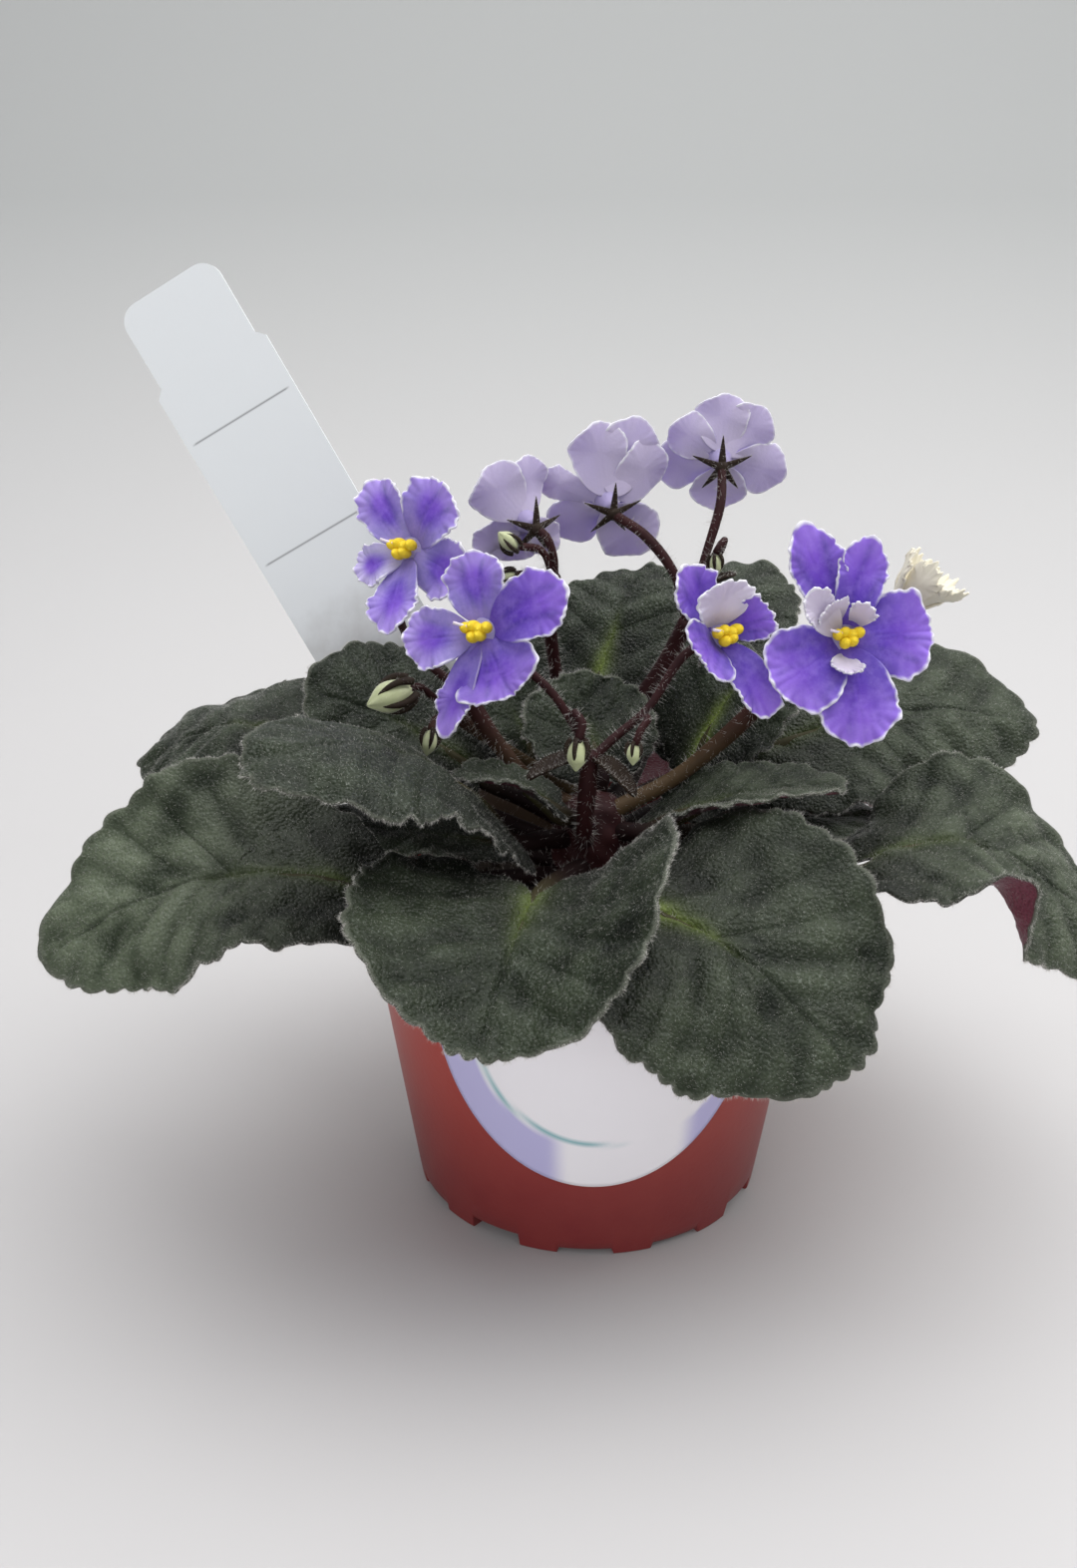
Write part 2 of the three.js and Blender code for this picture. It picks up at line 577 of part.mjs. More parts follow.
function budSolids([at, way, length]) {
  const middle = vec(at);
  const axis = vec(way).normalize();
  const body = lump(middle, axis, length, 0.7 * length);
  const cap = lump(middle.clone().addScaledVector(axis, -0.3 * length), axis, 0.6 * length, 0.66 * length);
  return [body, cap];
}

function bractSolid([base, tip, width]) {
  const bract = { base, tip, width, arch: 1, roll: 0, twist: 0, lift: [1, 1], wave: 0, waves: 1, phase: 0 };
  const length = vec(base).distanceTo(vec(tip));
  const radius = (turn) => 1 / Math.hypot((2 * Math.cos(turn)) / length, (2 * Math.sin(turn)) / width);
  return bladeSolid({
    middle: length / 2, radius, points: 6, rings: 1, thickness: PETAL_THICKNESS, place: leafPlace(bract),
  });
}

function spraySolid(spray, crown) {
  const solids = spray.stems.map(({ path, radius, bloom }) => {
    const points = path.map(vec);
    if (bloom) {
      const frame = bloomFrame(BLOOMS[bloom]);
      points.push(frame.middle.clone().addScaledVector(frame.facing, -CALYX_DEPTH));
    }
    return tube(points, radius, STEM_SIDES);
  });
  spray.stems.filter(({ bloom }) => bloom).forEach(({ bloom }) => solids.push(...calyxSolids(BLOOMS[bloom])));
  spray.buds.forEach((bud) => solids.push(...budSolids(bud)));
  spray.bracts.forEach((bract) => solids.push(bractSolid(bract)));
  return joined(solids).subtract(crown);
}

// Pot: outside and inside profiles turned about Z, with a stepped rim and a recessed floor
function turned(profile, sides) {
  const geometry = new THREE.LatheGeometry(profile.map(([r, z]) => new THREE.Vector2(r, z)), sides);
  geometry.rotateX(Math.PI / 2);
  return solidOf(geometry);
}

// Radius of the pot's side below the rim
function faceRadius(z) {
  return POT_BASE_RADIUS + ((POT_TOP_RADIUS - RIM_STEP - POT_BASE_RADIUS) * z) / POT_HEIGHT;
}

function potSolid() {
  const floorTop = FOOT_RECESS + FLOOR_THICKNESS;
  const rimFoot = POT_HEIGHT - RIM_HEIGHT;
  const rimRadius = faceRadius(rimFoot) + RIM_STEP;
  const pot = turned([
    [0, FOOT_RECESS], [POT_BASE_RADIUS - FOOT_WIDTH - 0.4, FOOT_RECESS], [POT_BASE_RADIUS - FOOT_WIDTH, 0],
    [POT_BASE_RADIUS, 0],
    [faceRadius(rimFoot), rimFoot], [rimRadius, rimFoot + 1], [POT_TOP_RADIUS, POT_HEIGHT],
    [POT_TOP_RADIUS - POT_WALL, POT_HEIGHT], [rimRadius - POT_WALL, rimFoot + 1],
    [faceRadius(rimFoot) - POT_WALL, rimFoot - 1], [faceRadius(floorTop) - POT_WALL, floorTop],
    [0, floorTop],
  ], POT_SIDES);
  const cuts = [];
  for (let i = 0; i < NOTCH_COUNT; i += 1) {
    const depth = i % 3 === 2 ? DEEP_NOTCH : SHALLOW_NOTCH;
    const notch = new THREE.BoxGeometry(NOTCH_LENGTH, NOTCH_WIDTH, 2 * depth);
    notch.translate(POT_BASE_RADIUS, 0, 0);
    notch.rotateZ(rad(NOTCH_TURN - 90 + (i * 360) / NOTCH_COUNT));
    cuts.push(solidOf(notch));
  }
  for (let i = 0; i < DRAIN_COUNT; i += 1) {
    const hole = new THREE.CylinderGeometry(DRAIN_RADIUS, DRAIN_RADIUS, 4 * FLOOR_THICKNESS, 6);
    hole.rotateX(Math.PI / 2);
    hole.translate(DRAIN_RING, 0, FOOT_RECESS);
    hole.rotateZ(rad((i + 0.5) * (360 / DRAIN_COUNT)));
    cuts.push(solidOf(hole));
  }
  return cuts.reduce((rest, cut) => rest.subtract(cut), pot);
}

// How far the soil's rough top stands over or under its level
function soilHeap(x, y) {
  return 0.9 * Math.sin(0.5 * x + 1) * Math.cos(0.43 * y) + 0.5 * Math.sin(0.9 * y - x);
}

// Soil: fills the pot to just under its rim, with a rough top
function soilSolid(holes) {
  const floorTop = FOOT_RECESS + FLOOR_THICKNESS + FIT_GAP;
  const inner = (z) => faceRadius(z) - POT_WALL - 2 * FIT_GAP;
  const shoulder = SOIL_TOP - SOIL_SHOULDER;
  const profile = [[0, floorTop], [inner(floorTop), floorTop], [inner(shoulder), shoulder]];
  for (let i = SOIL_RINGS; i >= 0; i -= 1) {
    profile.push([(inner(shoulder) * i) / (SOIL_RINGS + 0.4), SOIL_TOP]);
  }
  const geometry = new THREE.LatheGeometry(profile.map(([r, z]) => new THREE.Vector2(r, z)), SOIL_SIDES);
  geometry.rotateX(Math.PI / 2);
  const spots = geometry.attributes.position;
  for (let i = 0; i < spots.count; i += 1) {
    const isTop = spots.getZ(i) > SOIL_TOP - 1;
    if (isTop) spots.setZ(i, SOIL_TOP + soilHeap(spots.getX(i), spots.getY(i)));
  }
  return holes.reduce((rest, hole) => rest.subtract(hole), solidOf(geometry));
}

// Sticker: a thin shell of the pot's own slope, cut out round at the front
function stickerSolid() {
  const low = STICKER_MIDDLE - STICKER_RADIUS - 1;
  const high = POT_HEIGHT - RIM_HEIGHT - 1;
  const near = (z) => faceRadius(z) + STICKER_GAP;
  const far = (z) => near(z) + STICKER_THICKNESS;
  const shell = turned([
    [near(low), low], [far(low), low], [far(high), high], [near(high), high], [near(low), low],
  ], POT_SIDES);
  const reach = 2 * POT_BASE_RADIUS;
  const cutter = new THREE.CylinderGeometry(STICKER_RADIUS, STICKER_RADIUS, reach, STICKER_SIDES);
  const bend = Math.sin(STICKER_RADIUS / faceRadius(STICKER_MIDDLE)) * faceRadius(STICKER_MIDDLE);
  cutter.scale(bend / STICKER_RADIUS, 1, 1);
  cutter.translate(0, -POT_BASE_RADIUS, STICKER_MIDDLE);
  return shell.intersect(solidOf(cutter));
}

// Label: a flat tag with a rounded head, a shoulder step and a tapered point, leaning to the left
function labelSolid(grow) {
  const half = LABEL_WIDTH / 2 + grow;
  const headHalf = half - LABEL_SHOULDER;
  const pointHalf = LABEL_POINT_WIDTH / 2 + grow;
  const foot = vec(LABEL_FOOT);
  const head = vec(LABEL_HEAD);
  const way = head.clone().sub(foot).normalize();
  const top = head.distanceTo(foot);
  const shoulder = top - LABEL_HEAD_LENGTH;
  const shape = new THREE.Shape();
  shape.moveTo(-pointHalf, -LABEL_BURIED - grow);
  shape.lineTo(pointHalf, -LABEL_BURIED - grow);
  shape.lineTo(half, LABEL_TAPER - LABEL_BURIED);
  shape.lineTo(half, shoulder - LABEL_SHOULDER);
  shape.lineTo(headHalf, shoulder);
  shape.absarc(headHalf - LABEL_CORNER, top - LABEL_CORNER, LABEL_CORNER, 0, Math.PI / 2, false);
  shape.absarc(LABEL_CORNER - headHalf, top - LABEL_CORNER, LABEL_CORNER, Math.PI / 2, Math.PI, false);
  shape.lineTo(-headHalf, shoulder);
  shape.lineTo(-half, shoulder - LABEL_SHOULDER);
  shape.lineTo(-half, LABEL_TAPER - LABEL_BURIED);
  const depth = LABEL_THICKNESS + 2 * grow;
  const geometry = new THREE.ExtrudeGeometry(shape, { depth, bevelEnabled: false, curveSegments: 4 });
  geometry.translate(0, 0, -depth / 2);
  const front = new THREE.Vector3(0, -1, 0).addScaledVector(way, way.y).normalize();
  const basis = new THREE.Matrix4().makeBasis(way.clone().cross(front), way, front);
  geometry.applyMatrix4(basis);
  geometry.translate(foot.x, foot.y, foot.z);
  return solidOf(geometry);
}

// The room that the crown takes in the soil and among the stems, a little larger than the crown itself
function crownRoomSolid() {
  const last = CROWN_PROFILE.length - 1;
  const ends = { 0: -FIT_GAP, [last]: FIT_GAP };
  const profile = CROWN_PROFILE.map(([r, z], i) => (i in ends ? [0, z + ends[i]] : [r + FIT_GAP + 0.1, z]));
  return turned(profile, CROWN_SIDES);
}

const crownRoom = crownRoomSolid();
const labelRoom = labelSolid(LABEL_SLOT_GAP);

addPart('pot', potSolid(), { color: 0x96322a, roughness: 0.5 });
addPart('soil', soilSolid([crownRoom, labelRoom]), { color: 0x2a1f18, roughness: 1 });
addPart('sticker', stickerSolid(), { color: 0xf2f2f4, roughness: 0.35 });
addPart('plant_label', labelSolid(0), { color: 0xeef0f2, roughness: 0.4 });
addPart('crown', turned(CROWN_PROFILE, CROWN_SIDES), DARK_STEM);
Object.entries(LEAVES).forEach(([name, leaf]) => addPart(name, leafSolid(leaf, crownRoom), GREEN_LEAF));
Object.entries(SPRAYS).forEach(([name, spray]) => addPart(name, spraySolid(spray, crownRoom), DARK_STEM));
Object.entries(BLOOMS).forEach(([name, bloom]) => {
  const faded = name === 'bloom_faded';
  addPart(name, corollaSolid(bloom), faded ? CREAM_PETAL : VIOLET_PETAL);
  if (!faded) addPart(name.replace('bloom', 'stamens'), stamensSolid(bloom), YELLOW_ANTHER);
});

// The origin: the middle of the whole object's box, at the bottom
const box = new THREE.Box3().setFromObject(group);
const middle = box.getCenter(new THREE.Vector3());
group.position.set(-middle.x, -middle.y, -box.min.z);

export default group;
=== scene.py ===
"""Looks of a potted african violet: quilted hairy leaves, frilled white-edged petals, hairy stems,
rough soil, and a plain pot, sticker and plant label.

Lengths in the design tables are millimetres from the pot's axis at the surface that it stands on.
"""

import math
from collections import namedtuple

import bpy
import numpy as np
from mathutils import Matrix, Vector


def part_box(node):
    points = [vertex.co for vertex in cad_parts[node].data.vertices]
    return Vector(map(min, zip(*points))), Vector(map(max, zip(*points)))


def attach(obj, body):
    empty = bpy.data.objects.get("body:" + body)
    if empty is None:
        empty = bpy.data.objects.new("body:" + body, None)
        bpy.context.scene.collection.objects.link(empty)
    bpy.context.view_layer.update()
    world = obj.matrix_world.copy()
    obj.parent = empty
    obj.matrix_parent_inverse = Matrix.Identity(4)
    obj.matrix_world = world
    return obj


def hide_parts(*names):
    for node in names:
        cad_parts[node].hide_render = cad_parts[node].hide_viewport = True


MM = 0.001
UP = np.array([0.0, 0.0, 1.0])
EAST = np.array([1.0, 0.0, 0.0])
CURVE_DETAIL = 24
LEAF_SEED = 7
SPRAY_SEED = 207
SOIL_SEED = 307
CROWN_SEED = 407

# Leaves. A grid is the steps round a blade and its rings, which crowd towards the edge.
LEAF_THICKNESS = 0.8
LEAF_MIDDLE = 0.38
LOBE_REACH = 0.53
NOTCH_DEPTH = 0.16
NOTCH_SPREAD = 0.15
CALM_SPREAD = 0.5
MEAN_SCALLOP = 0.025
SCALLOP_PITCH = 4.2
SCALLOP_DEPTH = 1.2
MARGIN_RUFFLE = 0.7
LARGE_LEAF_WIDTH = 40
LARGE_LEAF_GRID = (300, 18)
SMALL_LEAF_GRID = (200, 14)
LEAF_CROWDING = 1.25
LATERAL_VEIN_PITCH = 9
QUILT_HEIGHT = 1.3
PUCKER_HEIGHT = 0.8
BASE_SHADE = 0.9
PALE_RIM = 0.45
PETIOLE_START = 4
PETIOLE_BELOW = 1.1
PETIOLE_STEPS = 40
PETIOLE_SIDES = 14
PETIOLE_REACH = (-0.05, 0.1, 0.3)
PETIOLE_RADII = ((0, 2.3), (0.6, 2.2), (0.82, 1.5), (1, 0.5))
BRACT_THICKNESS = 0.6
BRACT_GRID = (40, 8)

# Flowers
PETAL_THICKNESS = 0.5
PETAL_START = 1.8
PETAL_MIDDLE = 0.6
PETAL_FRILL = 0.8
PETAL_LAYERS = (0, 1.3, 0.1, 1.4, 2.5, 0.6, 0, 0, 0)
PETAL_GRID = (132, 10)
PETAL_CROWDING = 1.5
CALM_PETAL = 0.25
PALE_PETAL = 0.85
USUAL_WASH = 0.05
THROAT_RADIUS = 3.1
THROAT_FOOT_RADIUS = 1.6
THROAT_DEPTH = 3.6
THROAT_RISE = 0.8
THROAT_STEPS = 6
THROAT_SIDES = 24
CALYX_DEPTH = 5.2
CALYX_LENGTH = 2.6
CALYX_WIDTH = 3.4
SEPAL_LENGTH = 7.5
SEPAL_WIDTH = 1.9
SEPAL_LEAN = 0.2
SEPAL_BEND = 0.5
SEPAL_FLATTENING = 0.45
SEPAL_TIP_RADIUS = 0.08
SEPAL_STEPS = 14
SEPAL_SIDES = 10
SEPAL_HAIRS = 90
SEPAL_ANGLES = (18, 90, 162, 234, 306)
ANTHER_HEIGHT = 3.8
ANTHER_LENGTH = 4.4
ANTHER_WIDTH = 2.6
ANTHER_HALVES = (-0.8, 0.8)
ANTHER_SPOTS = ((-1.4, 0.6), (1.4, 0.6), (0.1, -1.2))
PISTIL_PATH = ((0, 0, 1.4), (-1, 0.4, 4.6), (-4.4, 1, 6.4))
PISTIL_RADIUS = 0.35
PISTIL_STEPS = 16
PISTIL_SIDES = 8

# Stems and buds
STEM_STEP = 1.2
STEM_SIDES = 12
STEM_SWELLING = 0.06
OLIVE_HEIGHTS = (124, 102)
BUD_WIDTH = 0.66
BUD_GRID = (28, 18)
BUD_SEAM = 0.03
BUD_SEPAL_STEPS = 12
BUD_SEPAL_SIDES = 8
BUD_SEPAL_HAIRS = 50

# Hairs
Hair = namedtuple("Hair", "length spread width")
MARGIN_HAIR = Hair(1.0, 0.45, 0.08)
SKIN_HAIR = Hair(0.7, 0.5, 0.045)
UNDERSIDE_HAIR = Hair(0.9, 0.4, 0.05)
PETIOLE_HAIR = Hair(1.6, 0.3, 0.07)
SEPAL_HAIR = Hair(0.9, 0.4, 0.07)
STEM_HAIR = Hair(2.4, 0.25, 0.07)
BUD_HAIR = Hair(0.8, 0.4, 0.05)
BRACT_MARGIN_HAIR = Hair(1.0, 0.5, 0.07)
CROWN_HAIR = Hair(1.2, 0.4, 0.07)
HAIR_LENGTHS = (0.5, 1.15)
HAIR_LEAN = 0.5
MARGIN_HAIRS_PER_MM = 9
LEAF_HAIRS_PER_MM2 = 2
UNDERSIDE_HAIRS_PER_MM2 = 0.2
PETIOLE_HAIRS_PER_MM = 4
STEM_HAIRS_PER_MM = 9
BUD_HAIRS_PER_MM2 = 1.2
BRACT_HAIRS_PER_MM2 = 2
BRACT_MARGIN_HAIRS = 5
CROWN_HAIRS_PER_MM2 = 0.4

# A leaf: where its blade starts and ends, its width, how it arches, rolls and twists, how far each side
# lifts, the height, number and phase of its waves, and the height of its root. tone is how light it is,
# from dark green to grey-green and on its maroon back: partly the leaf's own tone and partly painted light
# and shade for how lit the leaf is. glow is the yellow-green of its midrib, and shade is how far along it
# its base's painted shade reaches. Curls and bulges of the margin give an angle from the tip, a spread in
# degrees and a size.
Leaf = namedtuple(
    "Leaf", "base tip width arch roll twist lift wave waves phase root tone glow shade curls bulges",
    defaults=(0.25, 0.25, 0.5, (), ()))
LEAVES = {
    "leaf_front": Leaf((-13, -44, 92), (-24, -90, 78), 67, 4, 0, 14, (14, 22), 2, 3, 0.4, 82, tone=0.17,
        glow=0.45),
    "leaf_front_right": Leaf((7, -45, 90), (50, -71, 64), 70, 8, -18, -20, (-5, 9), 1.6, 4, 1.2, 80,
        tone=0.27, glow=0.75, shade=0.65),
    "leaf_left": Leaf((-54, -32, 89), (-121, -34, 70), 55, 11, 24, 34, (10, 0), 2.5, 4, 2.1, 79, tone=1.0,
        glow=0.35, shade=0.85, bulges=((-158, 14, 5), (-180, 9, 8), (180, 9, 8))),
    "leaf_back_left_low": Leaf((-68, 3, 111), (-114, 28, 94), 51, 8, 20, 14, (-4, -3), 2, 4, 0.2, 84,
        tone=0.15),
    "leaf_left_edge": Leaf((-21, -19, 98), (-69, -58, 121), 44, 14, 7, 0, (-2, -8), 2, 3, 0.9, 88,
        tone=0.04, shade=0.7),
    "leaf_back_left": Leaf((-29, 7, 103), (-68, 6, 121), 44, 4, 43, 24, (-2, 0), 1.5, 3, 1.7, 90, tone=0.1),
    "leaf_small_left": Leaf((-9, -15, 101), (-32, -13, 107.5), 20, 3, -6, 0, (2, 2), 0.8, 3, 0.5, 92),
    "leaf_back": Leaf((1, 36, 109), (16, 64, 140), 50, 6, 0, 0, (-4, -4), 1.5, 3, 0, 88, tone=0.1,
        glow=0.75),
    "leaf_inner": Leaf((2, 4, 103.5), (-4, 15, 124), 36, 1.5, 0, 0, (1, 1), 1, 3, 2, 98, tone=0.2),
    "leaf_right_edge": Leaf((15, -10, 95), (57, -16, 105), 32, 4, -8, 0, (7, 0), 1.2, 3, 1.1, 89, tone=0.6),
    "leaf_right_back": Leaf((38, 15, 102), (112, 26, 106), 54, 9, -33, -34, (-5, -2), 2, 4, 0.6, 80,
        tone=0.35),
    "leaf_right": Leaf((61, -28, 93), (117, -28, 66), 57, 16, -16, -34, (0, 3), 3.5, 4, 1.4, 80, tone=0.6,
        curls=((84, 13, 9), (150, 14, 6)), bulges=((158, 14, 5),)),
    "leaf_back_right": Leaf((24, 44, 111), (50, 73, 138), 42, 5, 0, 0, (-3, -3), 1.5, 3, 2.4, 90, tone=0.1),
    "leaf_inner_right": Leaf((27, 16, 103), (45, 25, 124), 41, 6, -14, 0, (2, 5), 1.5, 3, 0.3, 92,
        tone=0.2, glow=0.9),
    "leaf_inner_left": Leaf((-13, 12, 102), (-25, 20, 124), 20, 2, 20, 0, (2, 2), 1, 3, 1, 93),
    "leaf_low_left": Leaf((-22, -1, 86), (-66, -3, 92), 30, 1, 0, 0, (1, 0), 1, 3, 0.8, 80),
    "leaf_low_right": Leaf((28, -0.5, 90.5), (70, 4, 91), 30, 1, 0, 0, (0, 2), 1, 3, 2.8, 86),
    "leaf_rear_left": Leaf((-14, 42, 93), (-50, 93, 66), 54, 12, 0, 0, (-3, -3), 2, 4, 1.9, 82),
    "leaf_rear": Leaf((15, 42, 98), (25, 98, 65), 54, 15, 0, 0, (-3, -3), 2, 4, 0.9, 81,
        bulges=((0, 25, 5),)),
    "leaf_rear_right": Leaf((38, 36, 92), (84, 74, 66), 54, 9, 0, 0, (-3, -3), 2, 4, 2.7, 86),
}

# A petal: its angle from the flower's right towards its top, its length and width, its tilt, curve and
# cup out of the flower's plane, and where it starts if that isn't PETAL_START
Petal = namedtuple("Petal", "angle length width tilt curve cup start", defaults=(PETAL_START,))
Bloom = namedtuple("Bloom", "at facing petals")
BLOOMS = {
    "left": Bloom(
        at=(-41, 0, 156.4), facing=(-0.47, -0.8, 0.36),
        petals=[(134, 18, 12, 15, -2, 1), (57, 16.5, 16, 20, -2, 1), (-18, 15, 14, 9, -2, 1),
                (-80, 20, 12, 26, -2, 1), (214, 11.5, 9.5, 16, -2, 1)]),
    "front": Bloom(
        at=(-24.4, -22, 143.2), facing=(-0.32, -0.88, 0.34),
        petals=[(101, 16, 14, 18, -2, 1), (27, 21.5, 14.5, 18, -2, 1), (-57, 15, 20, 21, -2, 1),
                (-103, 22, 7.5, 5, -1, 1), (194, 15, 13.5, 14, -2, 1)]),
    "back_left": Bloom(
        at=(-15.5, 16, 160.4), facing=(-0.48, 0.85, 0.22),
        petals=[(47, 15, 14, 13, -1, 1), (96, 13, 11, 13, -1, 1), (-142, 12, 9, 14, -1, 1),
                (-39, 12, 9, 15, -1, 1), (-84, 10, 15, 13, -1, 1)]),
    "back": Bloom(
        at=(4, 27, 163.1), facing=(-0.25, 0.88, 0.4),
        petals=[(77, 18, 14, 21, -1, 1), (114, 19, 16, 19, -1, 1), (145, 17, 14, 21, -1, 1),
                (-127, 20, 16, 8, -1, 1), (-56, 15, 15, 18, -1, 1), (16, 18, 8, 15, -1, 1)]),
    "back_right": Bloom(
        at=(31.7, 36, 172), facing=(0.02, 0.96, 0.26),
        petals=[(91, 14, 13, 20, -1, 1), (136, 14, 13, 14, -1, 1), (34, 13, 11, 15, -1, 1),
                (200, 16, 13, 11, -1, 1), (-16, 14.5, 13, 10, -1, 1), (-92, 12.5, 14, 12, -1, 1)]),
    "small": Bloom(
        at=(27.5, -12, 140), facing=(0.3, -0.9, 0.33),
        petals=[(126, 17, 11, 17, 2, 2), (100, 10.5, 14, 30, 3, 2), (24, 9.5, 10, 30, 3, 2),
                (-68, 19, 10, 14, 0, 2), (-148, 9, 16, 24, 1, 2)]),
    "right": Bloom(
        at=(55, -12, 139.3), facing=(0, -0.93, 0.38),
        petals=[(114, 26, 12, 20, -2, 1), (78, 21, 11, 17, -2, 1), (3, 17.5, 20, 16, -2, 1),
                (-82, 22.5, 18, 10, -2, 1), (216, 19, 20, 16, -2, 1), (143, 15, 8, 42, 2, 2),
                (128, 9, 8, 62, 1, 2, 3.6), (60, 8, 6, 64, 1, 2, 3.6), (-96, 8, 7, 50, 1, 2, 3.4)]),
    "faded": Bloom(
        at=(70, 3, 143.5), facing=(0.7, -0.15, 0.68),
        petals=[(90, 10, 9, 52, 2, 2), (162, 10, 8, 58, 2, 2), (18, 11, 9, 50, 2, 2),
                (-54, 10, 8, 56, 2, 2), (-126, 10, 8, 52, 2, 2)]),
}

# The pale inner petals of a double flower, and the pale folded one of the small flower, by order
PALE_PETALS = {"right": (5, 6, 7, 8), "small": (1,)}

# How far each petal's white edge washes inwards
PETAL_WASHES = {"left": (0.25, 0.2, 0.25, 0.2, 0.5), "front": (0.2, 0.05, 0.1, 0.15, 0.25)}

# Each flower stalk: stems as paths with a radius and a flower, buds as middle, way and length,
# and bract leaves as base, tip and width
Spray = namedtuple("Spray", "stems buds bracts", defaults=((), ()))
SPRAYS = {
    "spray_front": Spray(
        stems=[([(-1, -5, 88), (-2, -13, 94), (-1.6, -17, 105), (-1, -18, 115)], 2, None),
               ([(-1, -18, 113), (-4, -18, 120), (-10, -17, 129), (-18, -16, 136)], 1, "front"),
               ([(-1, -18, 113), (4, -15, 117), (12, -11, 123), (20, -7, 134)], 1, "small"),
               ([(-3, -18, 119), (-5, -20, 125), (-3, -22, 123), (-4, -23, 119)], 1, None),
               ([(9, -12, 120.5), (12, -15, 122), (10, -18, 120), (9, -19, 117)], 0.9, None)],
        buds=[((-4, -23.4, 116), (-0.1, -0.3, -1), 7), ((8.6, -19.4, 115), (-0.1, -0.4, -1), 5)],
        bracts=[((-1.5, -18, 114), (-15, -22, 110), 7), ((-0.5, -18, 114), (9, -22, 106), 7)]),
    "spray_left": Spray(
        stems=[([(-3, 0, 95), (-13, -1, 101), (-22, -3, 112), (-30, -4, 126)], 1.9, None),
               ([(-30, -4, 125), (-39, -3, 133), (-44, 0, 141), (-42, 4, 150)], 1, "left")]),
    "spray_buds": Spray(
        stems=[([(-2, 4, 97), (-15, 6, 104), (-25, 3, 112), (-33, -2, 120)], 1.7, None),
               ([(-32, -1.8, 118), (-37, -4, 124), (-40, -7, 127), (-43, -9, 126)], 0.9, None),
               ([(-32, -1.8, 118.5), (-36, -6, 119), (-37, -9, 117)], 0.9, None)],
        buds=[((-46, -10, 125.4), (-1, -0.4, -0.3), 11), ((-37.4, -10.2, 114.6), (-0.2, -0.5, -1), 6)]),
    "spray_right": Spray(
        stems=[([(5, -2, 95), (20, 2, 102), (33, 1, 114), (44, -3, 128)], 2, None),
               ([(43, -2.6, 127), (50, 0, 134), (56, 0, 138)], 1.3, "right"),
               ([(43, -2.6, 127), (53, 4, 131), (60, 5, 135)], 1, "faded")]),
    "spray_back": Spray(
        stems=[([(0.5, 6, 95), (9, 21, 110), (18, 21, 124), (23, 16, 137)], 2, None),
               ([(23, 16, 136), (20, 18, 147), (13, 20, 156)], 1.2, "back"),
               ([(23, 16, 136), (27, 21, 150), (31, 26, 163)], 1.1, "back_right"),
               ([(26, 19.5, 147), (30, 18, 152), (31, 16, 156), (29, 15, 153)], 0.9, None)],
        buds=[((29.2, 15, 150.2), (0.1, 0, -1), 5)],
        bracts=[((24, 17, 141), (34, 15, 148), 6)]),
    "spray_back_left": Spray(
        stems=[([(-2.8, 6, 91), (-5, 20, 103), (-8, 24, 120), (-10, 18, 138), (-9, 13, 148)], 1.7, None),
               ([(-9, 13, 147), (-9, 11, 153), (-11, 11, 158)], 1, "back_left"),
               ([(-9, 13, 148), (-12, 9, 155), (-17, 8, 156)], 0.9, None),
               ([(-9, 13.4, 147), (-13, 11, 149), (-18, 10, 149)], 0.9, None)],
        buds=[((-19.6, 7.6, 157.4), (-0.6, -0.2, 0.6), 6), ((-20.2, 9.6, 148.6), (-1, -0.2, -0.3), 5)]),
}

# How olive the foot of a flower stalk is
OLIVE_STEMS = {"spray_left": 0.5, "spray_buds": 0.9, "spray_right": 0.8}

# Pot and soil
POT_HEIGHT = 82
POT_BASE_RADIUS = 42.7
POT_TOP_RADIUS = 56.6
POT_WALL = 1.6
POT_STEPS = 480
POT_ROWS = 14
RIM_HEIGHT = 11
RIM_STEP = 1.4
ROUNDING = 0.4
FOOT_RECESS = 3.2
FOOT_WIDTH = 3
FLOOR_THICKNESS = 2
NOTCH_COUNT = 12
NOTCH_WIDTH = 13
DEEP_NOTCH = 3.2
SHALLOW_NOTCH = 1.4
NOTCH_TURN = -2
CRISP_ANGLE = 35
SOIL_FOOT = 5.5
SOIL_SHOULDER = 70
SOIL_TOP = 74
SOIL_GAP = 0.6
SOIL_DROP = 3
SOIL_ROWS = 46
SOIL_STEPS = 160
CRUMB_COUNT = 300
CRUMB_REACH = 50
CRUMB_SIZES = (0.8, 2.6)
CRUMB_WIDTHS = (0.5, 1)
CRUMB_ROUGHNESS = 0.15
CRUMB_GRID = (7, 5)

# Sticker, whose print is part of an oval ring with lilac zones outside it
STICKER_RADIUS = 38
STICKER_GAP = 0.2
STICKER_THICKNESS = 0.6
STICKER_MIDDLE = 59.5
STICKER_GRID = (160, 34)
RING_MIDDLE = (3, -2)
RING_REACH = (30, 24)
RING_WIDTH = 0.02

# Plant label, from its foot in the soil to its head
LABEL_WIDTH = 31
LABEL_THICKNESS = 1
LABEL_FOOT = (-23, 23, 75)
LABEL_HEAD = (-102, 43, 212)
LABEL_BURIED = 40
LABEL_TAPER = 26
LABEL_POINT_WIDTH = 5
LABEL_HEAD_LENGTH = 20
LABEL_SHOULDER = 2
LABEL_CORNER = 5
LABEL_RULES = (0.22, 0.43)
LABEL_RULE_WIDTH = 0.22
LABEL_COLUMNS = 25
LABEL_ROWS = (150, 6, 12, 14)
RULE_ROWS = 9
RULE_REACH = 0.8

# Crown, as radii and heights
CROWN_PROFILE = ((0.01, 44), (3, 46), (6, 58), (8, 75), (10, 82), (9.5, 90), (7, 97), (0.01, 100))
CROWN_ROWS = 60
CROWN_STEPS = 64
CROWN_RIBS = 7
CROWN_GROOVE = 0.03

